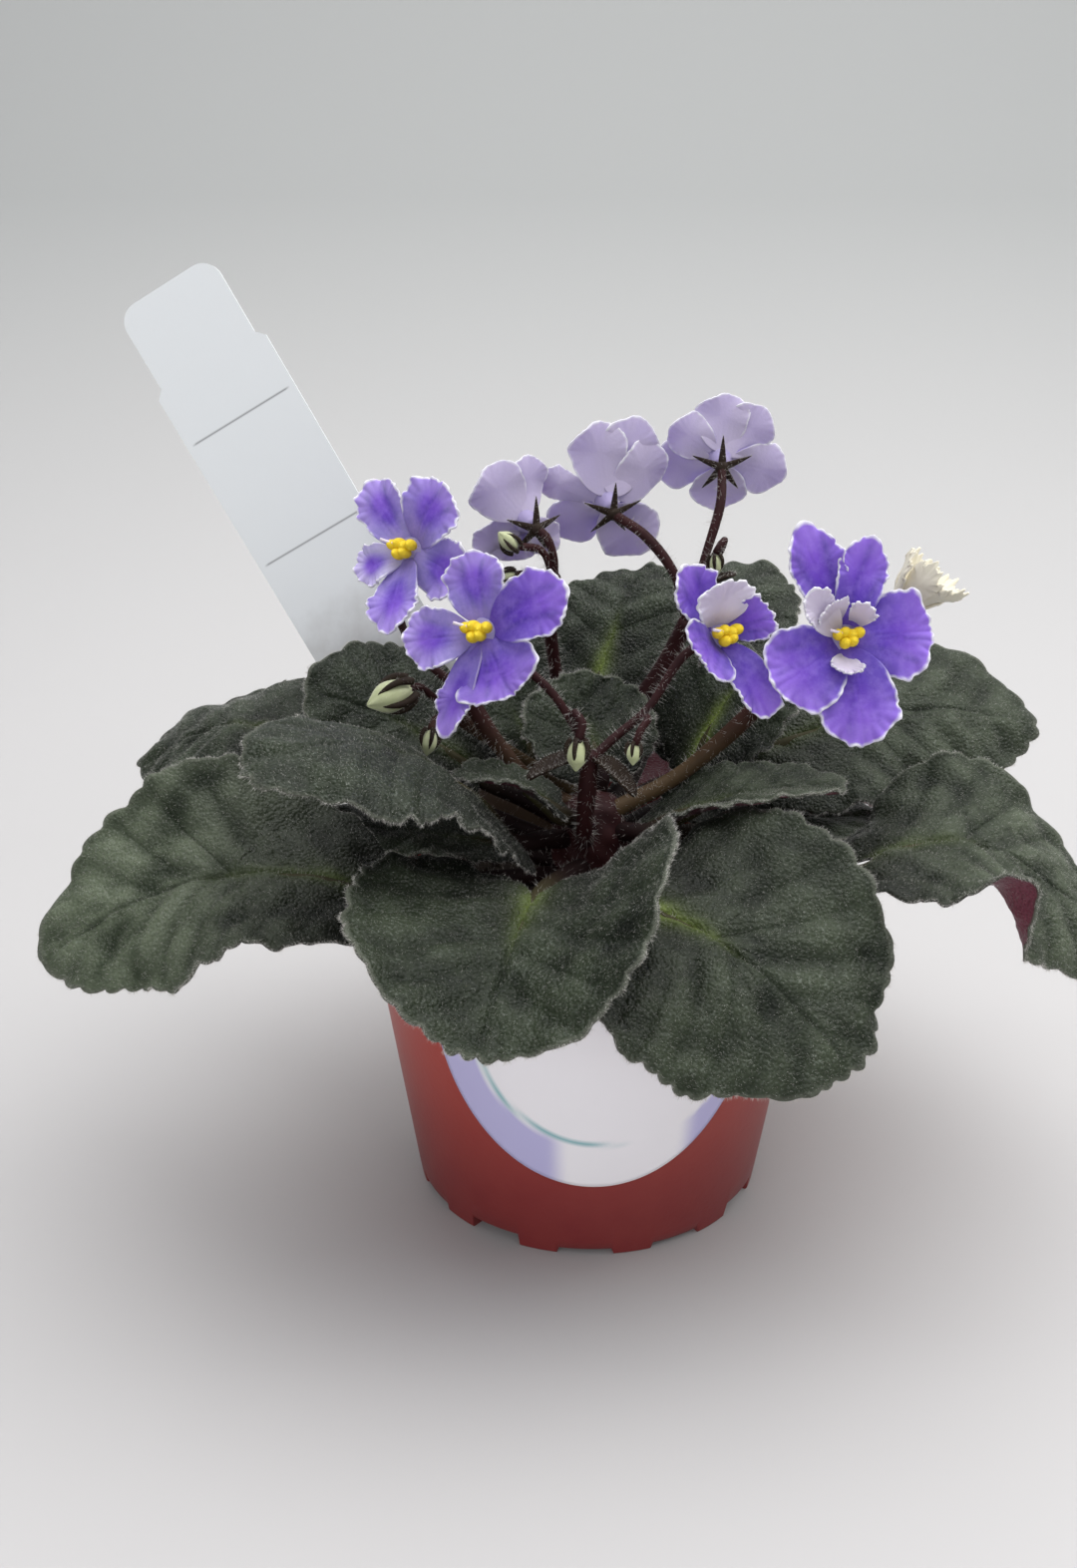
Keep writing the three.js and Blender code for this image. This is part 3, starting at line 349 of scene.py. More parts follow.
# Camera, lights and floor. The camera's place, lens and sensor are in millimetres, other lengths in metres.
CAMERA_AT = (-12.5, -333, 220.6)
CAMERA_PITCH = 19.75
CAMERA_LENS = 34.35
SENSOR_WIDTH = 36
CLIP_START = 0.01
LIGHTS = {
    "ceiling": ((0.1, 0.1, 1.0), (0, 0, 0.1), (1.7, 1.3), 20, (1.0, 1.0, 1.0)),
    "window_right": ((0.8, 0.1, 0.6), (0, 0, 0.12), (0.5, 0.5), 2.2, (1.0, 0.99, 0.97)),
    "room_front": ((-0.4, -1.2, 0.45), (0, 0, 0.08), (1.2, 0.7), 4.8, (0.98, 0.99, 1.0)),
}
ROOM_COLOR = (0.9, 0.92, 0.95, 1)
ROOM_LIGHT = 0.45
FLOOR_WIDTH = 3.0
FLOOR_FRONT = -1.6
FLOOR_BACK = 0.75
FLOOR_BEND = 0.55
BEND_STEPS = 24
WALL_TOP = 2.4

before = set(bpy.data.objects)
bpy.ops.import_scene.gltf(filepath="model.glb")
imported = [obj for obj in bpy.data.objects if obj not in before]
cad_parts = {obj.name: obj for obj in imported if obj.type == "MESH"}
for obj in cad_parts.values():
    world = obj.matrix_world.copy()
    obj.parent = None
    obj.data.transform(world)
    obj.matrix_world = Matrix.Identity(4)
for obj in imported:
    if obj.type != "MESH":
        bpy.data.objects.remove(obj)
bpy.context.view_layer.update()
pot_low, pot_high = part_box("pot")
AXIS = np.array([(pot_low.x + pot_high.x) / 2, (pot_low.y + pot_high.y) / 2, 0]) / MM


def unit(v):
    v = np.asarray(v, float)
    return v / np.linalg.norm(v, axis=-1, keepdims=True)


def smooth(low, high, x):
    t = np.clip((x - low) / (high - low), 0, 1)
    return t * t * (3 - 2 * t)


def hump(x, middle, spread):
    """1 at the middle, and falling smoothly to almost 0 at twice the spread."""
    return np.exp(-(((x - middle) / spread) ** 2))


def circle(steps):
    return np.arange(steps) / steps * 2 * math.pi


def path_length(path):
    return np.linalg.norm(np.diff(np.asarray(path, float), axis=0), axis=1).sum()


def side_of(way):
    """A way square to another."""
    return unit(np.cross(way, UP if abs(way[2]) < 0.9 else EAST))


def spoke_at(angle, across, up):
    """The way at an angle in degrees, from across towards up."""
    return across * math.cos(math.radians(angle)) + up * math.sin(math.radians(angle))


class Builder:
    """Gathers a piece's points and faces, with a skin for each face and float values for each point."""

    def __init__(self, skins, *values, seed=0):
        self.skins = skins
        self.points, self.triangles, self.slots = [], [], []
        self.values = {name: [] for name in values}
        self.count = 0
        self.rng = np.random.default_rng(seed)

    def add(self, points, triangles, skin, **values):
        points = np.asarray(points, float)
        self.points.append(points)
        self.triangles.append(triangles + self.count)
        self.slots.append(np.full(len(triangles), self.skins.index(skin)))
        for name, rows in self.values.items():
            rows.append(np.broadcast_to(values.get(name, 0.0), (len(points),)).astype(float))
        self.count += len(points)

    def add_sheet(self, upper, lower, faces, rim, skin, front, back):
        """Adds a thin sheet: two like faces back to back, with the values of each, and its rim."""
        triangles = np.concatenate([faces, faces[:, ::-1] + len(upper), rim])
        values = {name: np.concatenate([np.broadcast_to(side.get(name, 0.0), (len(upper),))
                                        for side in (front, back)]) for name in self.values}
        self.add(np.concatenate([upper, lower]), triangles, skin, **values)

    def hairs(self, roots, ways, hair):
        """Adds hairs as tapered triangles, spread about the ways that the surface faces."""
        count = len(roots)
        ways = unit(ways + self.rng.normal(size=(count, 3)) * hair.spread)
        lengths = hair.length * self.rng.uniform(*HAIR_LENGTHS, count)[:, None]
        sides = unit(np.cross(ways, self.rng.normal(size=(count, 3)))) * (0.5 * hair.width)
        corners = np.stack([roots - sides, roots + sides, roots + ways * lengths], axis=1)
        self.add(corners.reshape(-1, 3), np.arange(3 * count).reshape(-1, 3), HAIR_SKIN)

    def scatter(self, points, triangles, ways, per_mm2):
        """Evenly spread places on a surface, with the ways out of it."""
        a, b, c = (points[triangles[:, i]] for i in range(3))
        area = 0.5 * np.linalg.norm(np.cross(b - a, c - a), axis=1)
        count = int(area.sum() * per_mm2)
        chosen = self.rng.choice(len(triangles), size=count, p=area / area.sum())
        u, v = self.rng.uniform(size=(2, count, 1))
        over = u + v > 1
        u, v = np.where(over, 1 - u, u), np.where(over, 1 - v, v)
        places = a[chosen] + (b[chosen] - a[chosen]) * u + (c[chosen] - a[chosen]) * v
        return places, unit(ways[triangles[chosen, 0]])

    def piece(self, node, crisp=False):
        """Makes the finer piece that takes a node's place."""
        name = node + "_fine"
        points = (np.concatenate(self.points) + AXIS) * MM
        triangles = np.concatenate(self.triangles)
        mesh = bpy.data.meshes.new(name)
        mesh.vertices.add(len(points))
        mesh.vertices.foreach_set("co", points.ravel())
        mesh.loops.add(triangles.size)
        mesh.loops.foreach_set("vertex_index", triangles.ravel())
        mesh.polygons.add(len(triangles))
        mesh.polygons.foreach_set("loop_start", np.arange(0, triangles.size, 3))
        mesh.polygons.foreach_set("material_index", np.concatenate(self.slots))
        mesh.polygons.foreach_set("use_smooth", np.ones(len(triangles), bool))
        for value_name, rows in self.values.items():
            attribute = mesh.attributes.new(value_name, "FLOAT", "POINT")
            attribute.data.foreach_set("value", np.concatenate(rows))
        mesh.update(calc_edges=True)
        mesh.validate()
        for skin in self.skins:
            mesh.materials.append(skin)
        made = bpy.data.objects.new(name, mesh)
        bpy.context.scene.collection.objects.link(made)
        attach(made, "root")
        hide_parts(node)
        if crisp:
            made.modifiers.new("crisp", "EDGE_SPLIT").split_angle = math.radians(CRISP_ANGLE)


# Materials

class Look:
    """A material, mixed from colours by noise and by the values that a piece's points carry."""

    def __init__(self, name):
        self.material = bpy.data.materials.new(name)
        self.material.use_nodes = True
        self.tree = self.material.node_tree
        self.tree.nodes.clear()
        self.shader = self.node("BsdfPrincipled", {})
        self.output = self.node("OutputMaterial", {0: self.shader.outputs[0]})

    def feed(self, node, inputs):
        """Feeds a node's inputs, by name or number: each with a socket, a number or a colour."""
        for name, value in inputs.items():
            if isinstance(value, bpy.types.NodeSocket):
                self.tree.links.new(value, node.inputs[name])
            else:
                node.inputs[name].default_value = (*value, 1) if isinstance(value, tuple) else value

    def node(self, kind, inputs, **settings):
        made = self.tree.nodes.new("ShaderNode" + kind)
        for name, value in settings.items():
            setattr(made, name, value)
        self.feed(made, inputs)
        return made

    def place(self):
        return self.node("TexCoord", {}).outputs["Object"]

    def value(self, name):
        return self.node("Attribute", {}, attribute_name=name).outputs["Fac"]

    def noise(self, scale, detail=3.0, roughness=0.55):
        inputs = {"Vector": self.place(), "Scale": scale, "Detail": detail, "Roughness": roughness}
        return self.node("TexNoise", inputs).outputs["Fac"]

    def cells(self, scale):
        return self.node("TexVoronoi", {"Vector": self.place(), "Scale": scale}).outputs["Distance"]

    def times(self, first, second):
        return self.node("Math", {0: first, 1: second}, operation="MULTIPLY").outputs[0]

    def plus(self, first, second):
        return self.node("Math", {0: first, 1: second}, operation="ADD").outputs[0]

    def ramp(self, source, start, end, first=0.0, last=1.0):
        """Goes from one grey to another, between two places on the source's scale."""
        node = self.node("ValToRGB", {0: source})
        for element, position, grey in zip(node.color_ramp.elements, (start, end), (first, last)):
            element.position = position
            element.color = (grey, grey, grey, 1)
        return node.outputs[0]

    def mix(self, amount, first, second):
        return self.node("Mix", {0: amount, 6: first, 7: second}, data_type="RGBA").outputs[2]

    def layers(self, color, *covers):
        """A colour with others over it, each with the amount of it that shows."""
        for amount, cover in covers:
            color = self.mix(amount, color, cover)
        return color

    def paint(self, color, roughness, specular=0.5, sheen=0.0, sheen_roughness=0.5):
        self.feed(self.shader, {"Base Color": color, "Roughness": roughness, "Specular IOR Level": specular,
                                "Sheen Weight": sheen, "Sheen Roughness": sheen_roughness})

    def bump(self, height, distance):
        node = self.node("Bump", {"Height": height, "Distance": distance * MM})
        self.feed(self.shader, {"Normal": node.outputs[0]})

    def let_light_through(self, color, share):
        glow = self.node("BsdfTranslucent", {"Color": color})
        blend = self.node("MixShader", {0: share, 1: self.shader.outputs[0], 2: glow.outputs[0]})
        self.feed(self.output, {0: blend.outputs[0]})


def leaf_skin():
    """Dark green, lighter in random patches, with painted light on the tops of its quilting and painted
    glints, a yellow-green midrib, painted shade towards the base and a maroon back.
    """
    look = Look("leaf_skin")
    tone = look.value("tone")
    cloud = look.ramp(look.noise(45, 2), 0.35, 0.65)
    blotch = look.ramp(look.noise(150, 3), 0.4, 0.62)
    spots = look.times(look.plus(cloud, blotch), 0.35)
    # Random lighter mottling, plus painted light and shade: lighter on the tops of the quilting, darker in
    # its hollows
    mottle_and_peak_light = look.plus(spots, look.plus(look.value("peak_light"), -0.3))
    dark = look.mix(mottle_and_peak_light, (0.001, 0.002, 0.001), (0.018, 0.025, 0.013))
    light = look.mix(mottle_and_peak_light, (0.01, 0.016, 0.007), (0.1, 0.12, 0.078))
    # Painted glints: fine light specks, most on the tops of the quilting where the light is painted
    painted_glints = look.times(mottle_and_peak_light, look.ramp(look.noise(1400, 4), 0.54, 0.7))
    # The leaf's tone sets how light it is: partly its own tone and partly painted light and shade for how
    # lit the leaf is
    green = look.layers(
        look.mix(tone, dark, light),
        (look.times(painted_glints, 0.28), (0.28, 0.31, 0.27)),
        (look.times(look.value("vein"), 0.22), (0.02, 0.03, 0.014)),
        (look.value("rim"), (0.2, 0.21, 0.17)),
        (look.value("glow"), (0.2, 0.27, 0.045)))
    # The maroon back follows the tone too, so the backs of the inner leaves are darker, as painted shade
    maroon = look.layers(
        look.mix(tone, (0.03, 0.006, 0.012), (0.28, 0.07, 0.11)),
        (look.times(look.noise(120), 0.5), (0.12, 0.05, 0.06)))
    color = look.layers(green, (look.value("under"), maroon), (look.value("shade"), (0.002, 0.002, 0.0015)))
    look.paint(color, look.ramp(look.noise(60, 2), 0.35, 0.65, 0.5, 0.33), 0.16, 0.03, 0.4)
    look.feed(look.shader, {"Sheen Tint": (0.8, 0.85, 0.8)})
    look.bump(look.plus(look.times(look.noise(700, 4), 0.9), look.times(look.cells(1300), -1.0)), 0.3)
    return look.material


def petiole_skin():
    look = Look("petiole_skin")
    brown = look.mix(look.value("glow"), (0.006, 0.002, 0.002), (0.04, 0.04, 0.014))
    look.paint(look.mix(look.times(look.noise(500), 0.4), brown, (0.025, 0.008, 0.008)), 0.6, 0.15)
    return look.material


def stem_skin():
    """Dark purple-brown, and olive where a stem's foot is old."""
    look = Look("stem_skin")
    olive = look.value("olive")
    low = look.mix(olive, (0.008, 0.002, 0.003), (0.05, 0.03, 0.014))
    high = look.mix(olive, (0.045, 0.012, 0.012), (0.11, 0.075, 0.035))
    look.paint(look.mix(look.noise(160), low, high), 0.6, 0.15)
    look.bump(look.noise(480, 4), 0.08)
    return look.material


def petal_skin():
    """Veined and mottled violet with a white edge, and a pale lavender back that is partly its own colour
    and partly painted light shining through.
    """
    look = Look("petal_skin")
    mottle = look.ramp(look.noise(330, 5, 0.7), 0.42, 0.7)
    color = look.layers(
        look.mix(look.value("deep"), (0.29, 0.125, 0.75), (0.085, 0.018, 0.48)),
        (look.times(look.value("vein"), 0.8), (0.045, 0.008, 0.32)),
        (look.times(mottle, 0.35), (0.42, 0.27, 0.84)),
        # The pale back: partly its own colour and partly painted light shining through the petal
        (look.value("back"), (0.66, 0.58, 0.79)),
        (look.value("pale"), (0.82, 0.77, 0.83)),
        (look.value("edge"), (0.92, 0.91, 0.95)))
    look.paint(color, 0.55, sheen=0.25, sheen_roughness=0.4)
    look.bump(look.noise(1600, 3), 0.08)
    look.let_light_through(color, 0.3)
    return look.material


def hair_skin():
    look = Look("hair")
    color = look.mix(look.noise(200), (0.5, 0.48, 0.45), (0.7, 0.68, 0.64))
    look.paint(color, 0.5)
    look.let_light_through(color, 0.4)
    return look.material


def sticker_skin():
    """White, with a lilac zone at the left, a smaller one at the right, and a thin teal ring."""
    look = Look("sticker_print")
    look.paint(look.layers(
        look.mix(look.value("side"), (0.93, 0.9, 0.93), (0.5, 0.47, 0.75)),
        (look.value("ring"), (0.2, 0.45, 0.48)),
        (look.times(look.noise(60), 0.1), (0.7, 0.7, 0.75))), 0.35)
    return look.material


def label_skin():
    """White plastic, with two thin plain rules, and brown soiling with painted shadow that darkens it
    towards its foot.
    """
    look = Look("label_print")
    # Brown soiling with specks, and painted shadow where the leaves shade the label's lower part
    stain_and_shade = look.value("stain_and_shade")
    crumbs = look.plus(look.noise(220, 5), look.times(stain_and_shade, 0.7))
    dirt_and_shadow = look.ramp(look.times(stain_and_shade, crumbs), 0.1, 0.9)
    ruled = look.mix(look.value("rule"), (0.7, 0.72, 0.735), (0.12, 0.12, 0.13))
    look.paint(look.mix(dirt_and_shadow, ruled, (0.12, 0.075, 0.045)), 0.4)
    look.bump(look.noise(300), 0.04)
    return look.material


def pot_skin():
    """Terracotta red, darker towards the foot."""
    look = Look("pot_plastic")
    red = look.mix(look.value("low"), (0.38, 0.04, 0.028), (0.17, 0.01, 0.013))
    look.paint(look.mix(look.times(look.noise(120, 5), 0.2), red, (0.4, 0.09, 0.06)), 0.42)
    look.bump(look.noise(700, 4), 0.05)
    return look.material


def plain_skin(name, low, high, scale, roughness, grain=0.0, sheen=0.0, specular=0.5):
    """A skin between two colours, with grains three times as fine as its clouds."""
    look = Look(name)
    look.paint(look.mix(look.noise(scale), low, high), roughness, specular, sheen)
    if grain:
        look.bump(look.noise(3 * scale, 4), grain)
    return look.material


LEAF_SKIN = leaf_skin()
PETIOLE_SKIN = petiole_skin()
PETAL_SKIN = petal_skin()
HAIR_SKIN = hair_skin()
STEM_SKIN = stem_skin()
SEPAL_SKIN = plain_skin("sepal_skin", (0.012, 0.005, 0.005), (0.032, 0.022, 0.013), 400, 0.6, 0.08, 0, 0.15)
BUD_SKIN = plain_skin("bud_skin", (0.38, 0.42, 0.2), (0.55, 0.58, 0.36), 250, 0.5, 0.1, 0.3)
ANTHER_SKIN = plain_skin("anther_skin", (0.7, 0.47, 0.008), (0.86, 0.66, 0.02), 500, 0.7, 0.15)
PISTIL_SKIN = plain_skin("pistil_skin", (0.6, 0.5, 0.6), (0.8, 0.75, 0.75), 400, 0.5)
CREAM_SKIN = plain_skin("cream_skin", (0.72, 0.66, 0.5), (0.84, 0.8, 0.68), 260, 0.6, 0.1, 0.2)
SOIL_SKIN = plain_skin("soil_skin", (0.012, 0.008, 0.005), (0.05, 0.034, 0.024), 350, 0.95, 0.6)
POT_SKIN = pot_skin()
STICKER_SKIN = sticker_skin()
LABEL_SKIN = label_skin()


# Rings of points, and the bodies made of them

def ring_fan(centre, first, steps):
    """Triangles from one point to a ring, which starts at the number first."""
    j = np.arange(steps)
    return np.stack([np.full(steps, centre), first + j, first + (j + 1) % steps], axis=1)


def ring_band(first, second, steps, outward=False):
    """Triangles between two rings of points, which start at the numbers first and second."""
    j = np.arange(steps)
    k = (j + 1) % steps
    a, b, c, d = first + j, first + k, second + k, second + j
    halves = ((a, b, c), (a, c, d)) if outward else ((a, d, c), (a, c, b))
    return np.concatenate([np.stack(half, axis=1) for half in halves])


def ring_bands(rows, steps, outward=False):
    return [ring_band(row * steps, (row + 1) * steps, steps, outward) for row in range(rows)]


def sweep(path, radii, sides):
    """A round tube along path. Returns its points, triangles and outward ways."""
    path = np.asarray(path, float)
    tangents = unit(np.gradient(path, axis=0))
    normal = side_of(tangents[0])
    angles = circle(sides)
    points, ways = [], []
    for centre, tangent, radius in zip(path, tangents, np.broadcast_to(radii, (len(path),))):
        normal = unit(normal - tangent * np.dot(normal, tangent))
        way = np.outer(np.cos(angles), normal) + np.outer(np.sin(angles), np.cross(tangent, normal))
        points.append(centre + way * radius)
        ways.append(way)
    last = (len(path) - 1) * sides
    foot, head = last + sides, last + sides + 1
    triangles = [*ring_bands(len(path) - 1, sides, True), ring_fan(foot, 0, sides)[:, [0, 2, 1]],
                 ring_fan(head, last, sides)]
    points = np.concatenate([*points, path[:1], path[-1:]])
    return points, np.concatenate(triangles), np.concatenate([*ways, -tangents[:1], tangents[-1:]])


def lump(at, way, length, width, steps=16, rings=10):
    """A rounded lump, longer along its pointing way. Returns points, triangles and outward ways."""
    way = unit(way)
    side = side_of(way)
    across = np.cross(way, side)
    ring, spoke = np.meshgrid(np.linspace(0, math.pi, rings + 1), circle(steps), indexing="ij")
    local = np.stack([np.sin(ring) * np.cos(spoke), np.sin(ring) * np.sin(spoke), np.cos(ring)], axis=-1)
    x, y, z = np.split(local.reshape(-1, 3), 3, axis=1)
    flat = x * side + y * across
    points = np.asarray(at, float) + flat * width / 2 + z * way * length / 2
    return points, np.concatenate(ring_bands(rings, steps)), flat + z * way


def lathe(profile, steps, shape):
    """A turned body. shape moves a ring's points, given them with the ring's radius and height."""
    angles = circle(steps)
    rings = []
    for r, z in profile:
        ring = np.stack([r * np.cos(angles), r * np.sin(angles), np.full(steps, z)], axis=1)
        rings.append(shape(ring, r, z))
    return np.concatenate(rings), np.concatenate(ring_bands(len(rings) - 1, steps, True))


def curve_through(points, steps):
    """A smooth curve through the points, spread evenly."""
    points = np.asarray(points, float)
    gaps = np.linalg.norm(np.diff(points, axis=0), axis=1) ** 0.5
    knots = np.concatenate([[2 * points[0] - points[1]], points, [2 * points[-1] - points[-2]]])
    spans = np.concatenate([[gaps[0]], gaps, [gaps[-1]]])
    made = []
    for i in range(len(points) - 1):
        p0, p1, p2, p3 = knots[i:i + 4]
        d0, d1, d2 = spans[i:i + 3]
        m1 = ((p1 - p0) / d0 - (p2 - p0) / (d0 + d1) + (p2 - p1) / d1) * d1
        m2 = ((p2 - p1) / d1 - (p3 - p1) / (d1 + d2) + (p3 - p2) / d2) * d1
        for t in np.linspace(0, 1, CURVE_DETAIL, endpoint=False):
            h = t * t * (3 - 2 * t)
            made.append(p1 * (1 - h) + p2 * h + m1 * t * (1 - t) ** 2 - m2 * t * t * (1 - t))
    made = np.array([*made, points[-1]])
    travel = np.concatenate([[0], np.cumsum(np.linalg.norm(np.diff(made, axis=0), axis=1))])
    even = np.linspace(0, travel[-1], steps)
    return np.stack([np.interp(even, travel, made[:, i]) for i in range(3)], axis=1)


# Blades: a flat grid of places, bent into space and given two faces

Grid = namedtuple("Grid", "x y edge angle")
Blade = namedtuple("Blade", "upper lower normals faces")


def blade_grid(middle, radius, size, crowding):
    """Flat places of a blade: its middle, then its rings. edge is the share of the way out."""
    steps, rings = size
    angles = circle(steps)
    parts = [[np.array([middle]), np.zeros(1), np.zeros(1), np.zeros(1)]]
    for ring in range(1, rings + 1):
        edge = np.full(steps, 1 - (1 - ring / rings) ** crowding)
        reach = radius(angles, edge) * edge
        parts.append([middle + reach * np.cos(angles), reach * np.sin(angles), edge, angles])
    return Grid(*(np.concatenate(rows) for rows in zip(*parts)))


def blade_faces(size, turned=False):
    """Triangles of a blade's face and of its rim. They face the other way where the blade is turned."""
    steps, rings = size
    faces = np.concatenate([ring_fan(0, 1, steps), *(band + 1 for band in ring_bands(rings - 1, steps))])
    last = 1 + (rings - 1) * steps
    rim = ring_band(last, last + 1 + rings * steps, steps)
    return (faces[:, ::-1], rim[:, ::-1]) if turned else (faces, rim)


def surface_normals(points, faces):
    normals = np.zeros_like(points)
    a, b, c = (points[faces[:, i]] for i in range(3))
    flat = np.cross(b - a, c - a)
    for i in range(3):
        np.add.at(normals, faces[:, i], flat)
    return unit(normals + 1e-12)


def add_blade(builder, skin, points, size, thickness, front, back, turned=False):
    """Adds a blade of one thickness about its points. front and back give each face's values."""
    faces, rim = blade_faces(size, turned)
    normals = surface_normals(points, faces)
    half = normals * thickness / 2
    blade = Blade(points + half, points - half, normals, faces)
    builder.add_sheet(blade.upper, blade.lower, faces, rim, skin, front, back)
    return blade


# Leaves

def turn_from_tip(angle):
    return np.arctan2(np.sin(angle), np.cos(angle))


def near_base(turn, spread):
    return hump(np.abs(turn), math.pi, spread)


def along_margin(rows, turn):
    """How much each row of curls or bulges adds at each turn from the tip."""
    return [size * hump(turn, math.radians(at), math.radians(spread)) for at, spread, size in rows]


def leaf_length(leaf):
    return np.linalg.norm(np.subtract(leaf.tip, leaf.base))


def leaf_grid(leaf, size):
    """Flat places of a leaf: a scalloped oval, notched where its petiole joins."""
    length, width, phase = leaf_length(leaf), leaf.width, leaf.phase
    middle = LEAF_MIDDLE * length
    scallops = round(math.pi * (0.95 * length + width) / 2 / SCALLOP_PITCH)

    def radius(angle, edge):
        turn = turn_from_tip(angle)
        reach = np.where(np.abs(turn) < math.pi / 2, length - middle, LOBE_REACH * length)
        oval = 1 / np.hypot(np.cos(turn) / reach, 2 * np.sin(turn) / width)
        notch = NOTCH_DEPTH * length * near_base(turn, NOTCH_SPREAD)
        slant = scallops / 2 * turn + 0.7 * np.sin(3 * turn + phase) + 0.5 * np.sin(7 * turn - phase)
        dip = (1 - np.abs(np.sin(slant)) ** 0.8) * (0.75 + 0.45 * np.sin(5 * turn + 2 * phase))
        uneven = 0.016 * np.sin(6 * turn + phase) + 0.014 * np.sin(11 * turn + 3 * phase)
        free = 1 - near_base(turn, CALM_SPREAD)
        oval = sum(along_margin(leaf.bulges, turn), oval)
        tooth = 1 - MEAN_SCALLOP + (uneven * free - SCALLOP_DEPTH / oval * (dip - 0.3)) * edge ** 12
        return (oval - notch) * tooth

    return blade_grid(middle, radius, size, LEAF_CROWDING)


def leaf_place(leaf, grid):
    """Bends a leaf's flat places into space. Returns them, and which way its upper face rises."""
    base, tip = np.array(leaf.base, float), np.array(leaf.tip, float)
    ridge = (base + tip) / 2 + UP * 2 * leaf.arch
    u = grid.x / leaf_length(leaf)
    v = np.clip(u, 0, 1)[:, None]
    point = base * (1 - v) ** 2 + ridge * 2 * v * (1 - v) + tip * v * v
    along = base * -2 * (1 - v) + ridge * (2 - 4 * v) + tip * 2 * v
    point = point + along * (u[:, None] - v)
    along = unit(along)
    right = unit(np.cross(along, UP))
    face = np.cross(right, along)
    roll = np.radians(leaf.roll + leaf.twist * (v - 0.5))
    side = right * np.cos(roll) + face * np.sin(roll)
    rise = face * np.cos(roll) - right * np.sin(roll)
    across = 2 * grid.y / leaf.width
    lift = np.where(across > 0, leaf.lift[0], leaf.lift[1]) * np.abs(across) ** 1.6
    return point + side * grid.y[:, None] + rise * (lift + leaf_waves(leaf, grid))[:, None], rise


def leaf_waves(leaf, grid):
    """Height of a leaf's waves, of its margin's curls and of its ruffle."""
    turn = turn_from_tip(grid.angle)
    edge, angle = grid.edge, grid.angle
    calm = 1 - near_base(turn, CALM_SPREAD)
    wave = leaf.wave * calm * edge * edge * np.sin(leaf.waves * angle + leaf.phase)
    for curl in along_margin(leaf.curls, turn):
        wave = wave + curl * smooth(0.6, 1, edge) ** 2
    ruffle = np.sin(13 * angle + 3 * leaf.phase) + 0.7 * np.sin(23 * angle + leaf.phase)
    return wave + MARGIN_RUFFLE * min(1.0, leaf.width / 50) * calm * edge ** 8 * ruffle


def leaf_relief(leaf, grid):
    """Height of the quilted skin, and how near a place is to a vein."""
    x, y, phase = grid.x, grid.y, leaf.phase
    size = min(1.0, leaf.width / 55)
    pitch = LATERAL_VEIN_PITCH * (0.55 + 0.45 * size)
    reach = np.abs(y)
    bend = 0.8 * np.sin(reach / 5 + phase)
    lateral = (x - 0.7 * reach + 0.005 * reach * reach + bend) / pitch + np.where(y > 0, 0.0, 0.45)
    lateral_near = np.abs(lateral - np.round(lateral)) * 2
    cross = reach / (0.8 * pitch) + 0.37 * np.round(lateral) + 0.2 * np.sin(x / 4)
    cross_near = np.abs(cross - np.round(cross)) * 2
    midrib_near = np.clip(reach / 2.2, 0, 1)
    quilt = np.sqrt(lateral_near) * (0.55 + 0.45 * np.sqrt(cross_near)) * smooth(0, 0.6, midrib_near)
    pucker = np.sin(x / 4.1 + 1.3 * np.sin(y / 5.3 + phase)) * np.sin(y / 3.7 + 1.1 * np.sin(x / 6.1))
    fade = smooth(1.0, 0.88, grid.edge) * smooth(-0.3, 0.0, x / leaf_length(leaf))
    height = size * (QUILT_HEIGHT * (quilt - 0.55) + PUCKER_HEIGHT * pucker) * fade
    vein = np.maximum(1 - lateral_near * 2.5, 1 - midrib_near * 1.1)
    return height, np.clip(vein, 0, 1)


def leaf_glow(leaf, grid):
    """How yellow-green the skin is: along the midrib, most of all at the base."""
    along = smooth(0.62, 0.0, grid.x / leaf_length(leaf))
    spread = 0.6 + 0.035 * leaf.width * along
    return leaf.glow * along * np.exp(-((np.abs(grid.y) / spread) ** 1.2))


def leaf_values(leaf, grid, height, vein):
    """The values of a leaf's front and back."""
    along = grid.x / leaf_length(leaf)
    glow = leaf_glow(leaf, grid)
    rim = PALE_RIM * smooth(0.985, 1.0, grid.edge)
    shade = BASE_SHADE * smooth(leaf.shade, -0.15, along) * (1 - np.clip(2 * glow, 0, 1))
    front = {"vein": vein, "glow": glow, "tone": leaf.tone, "shade": shade, "rim": rim,
             # How high the quilting stands here, which the skin turns into painted light on its tops and
             # painted shade in its hollows
             "peak_light": np.clip(0.5 + 0.4 * height, 0, 1)}
    back = {"under": smooth(1.0, 0.97, grid.edge), "tone": leaf.tone, "rim": rim,
            "shade": BASE_SHADE * smooth(0.55, 0.1, along)}
    return front, back


def add_margin_hairs(builder, blade, size):
    steps, rings = size
    margin = np.arange(1 + (rings - 1) * steps, 1 + rings * steps)
    count = int(path_length(blade.upper[margin]) * MARGIN_HAIRS_PER_MM)
    chosen = builder.rng.integers(0, steps, count)
    share = builder.rng.uniform(size=(count, 1))
    near, far = blade.upper[margin[chosen]], blade.upper[margin[(chosen + 1) % steps]]
    depth = LEAF_THICKNESS * builder.rng.uniform(0, 1, (count, 1))
    roots = near * (1 - share) + far * share - blade.normals[margin[chosen]] * depth
    builder.hairs(roots, unit(near - blade.upper[margin[chosen] - steps]), MARGIN_HAIR)


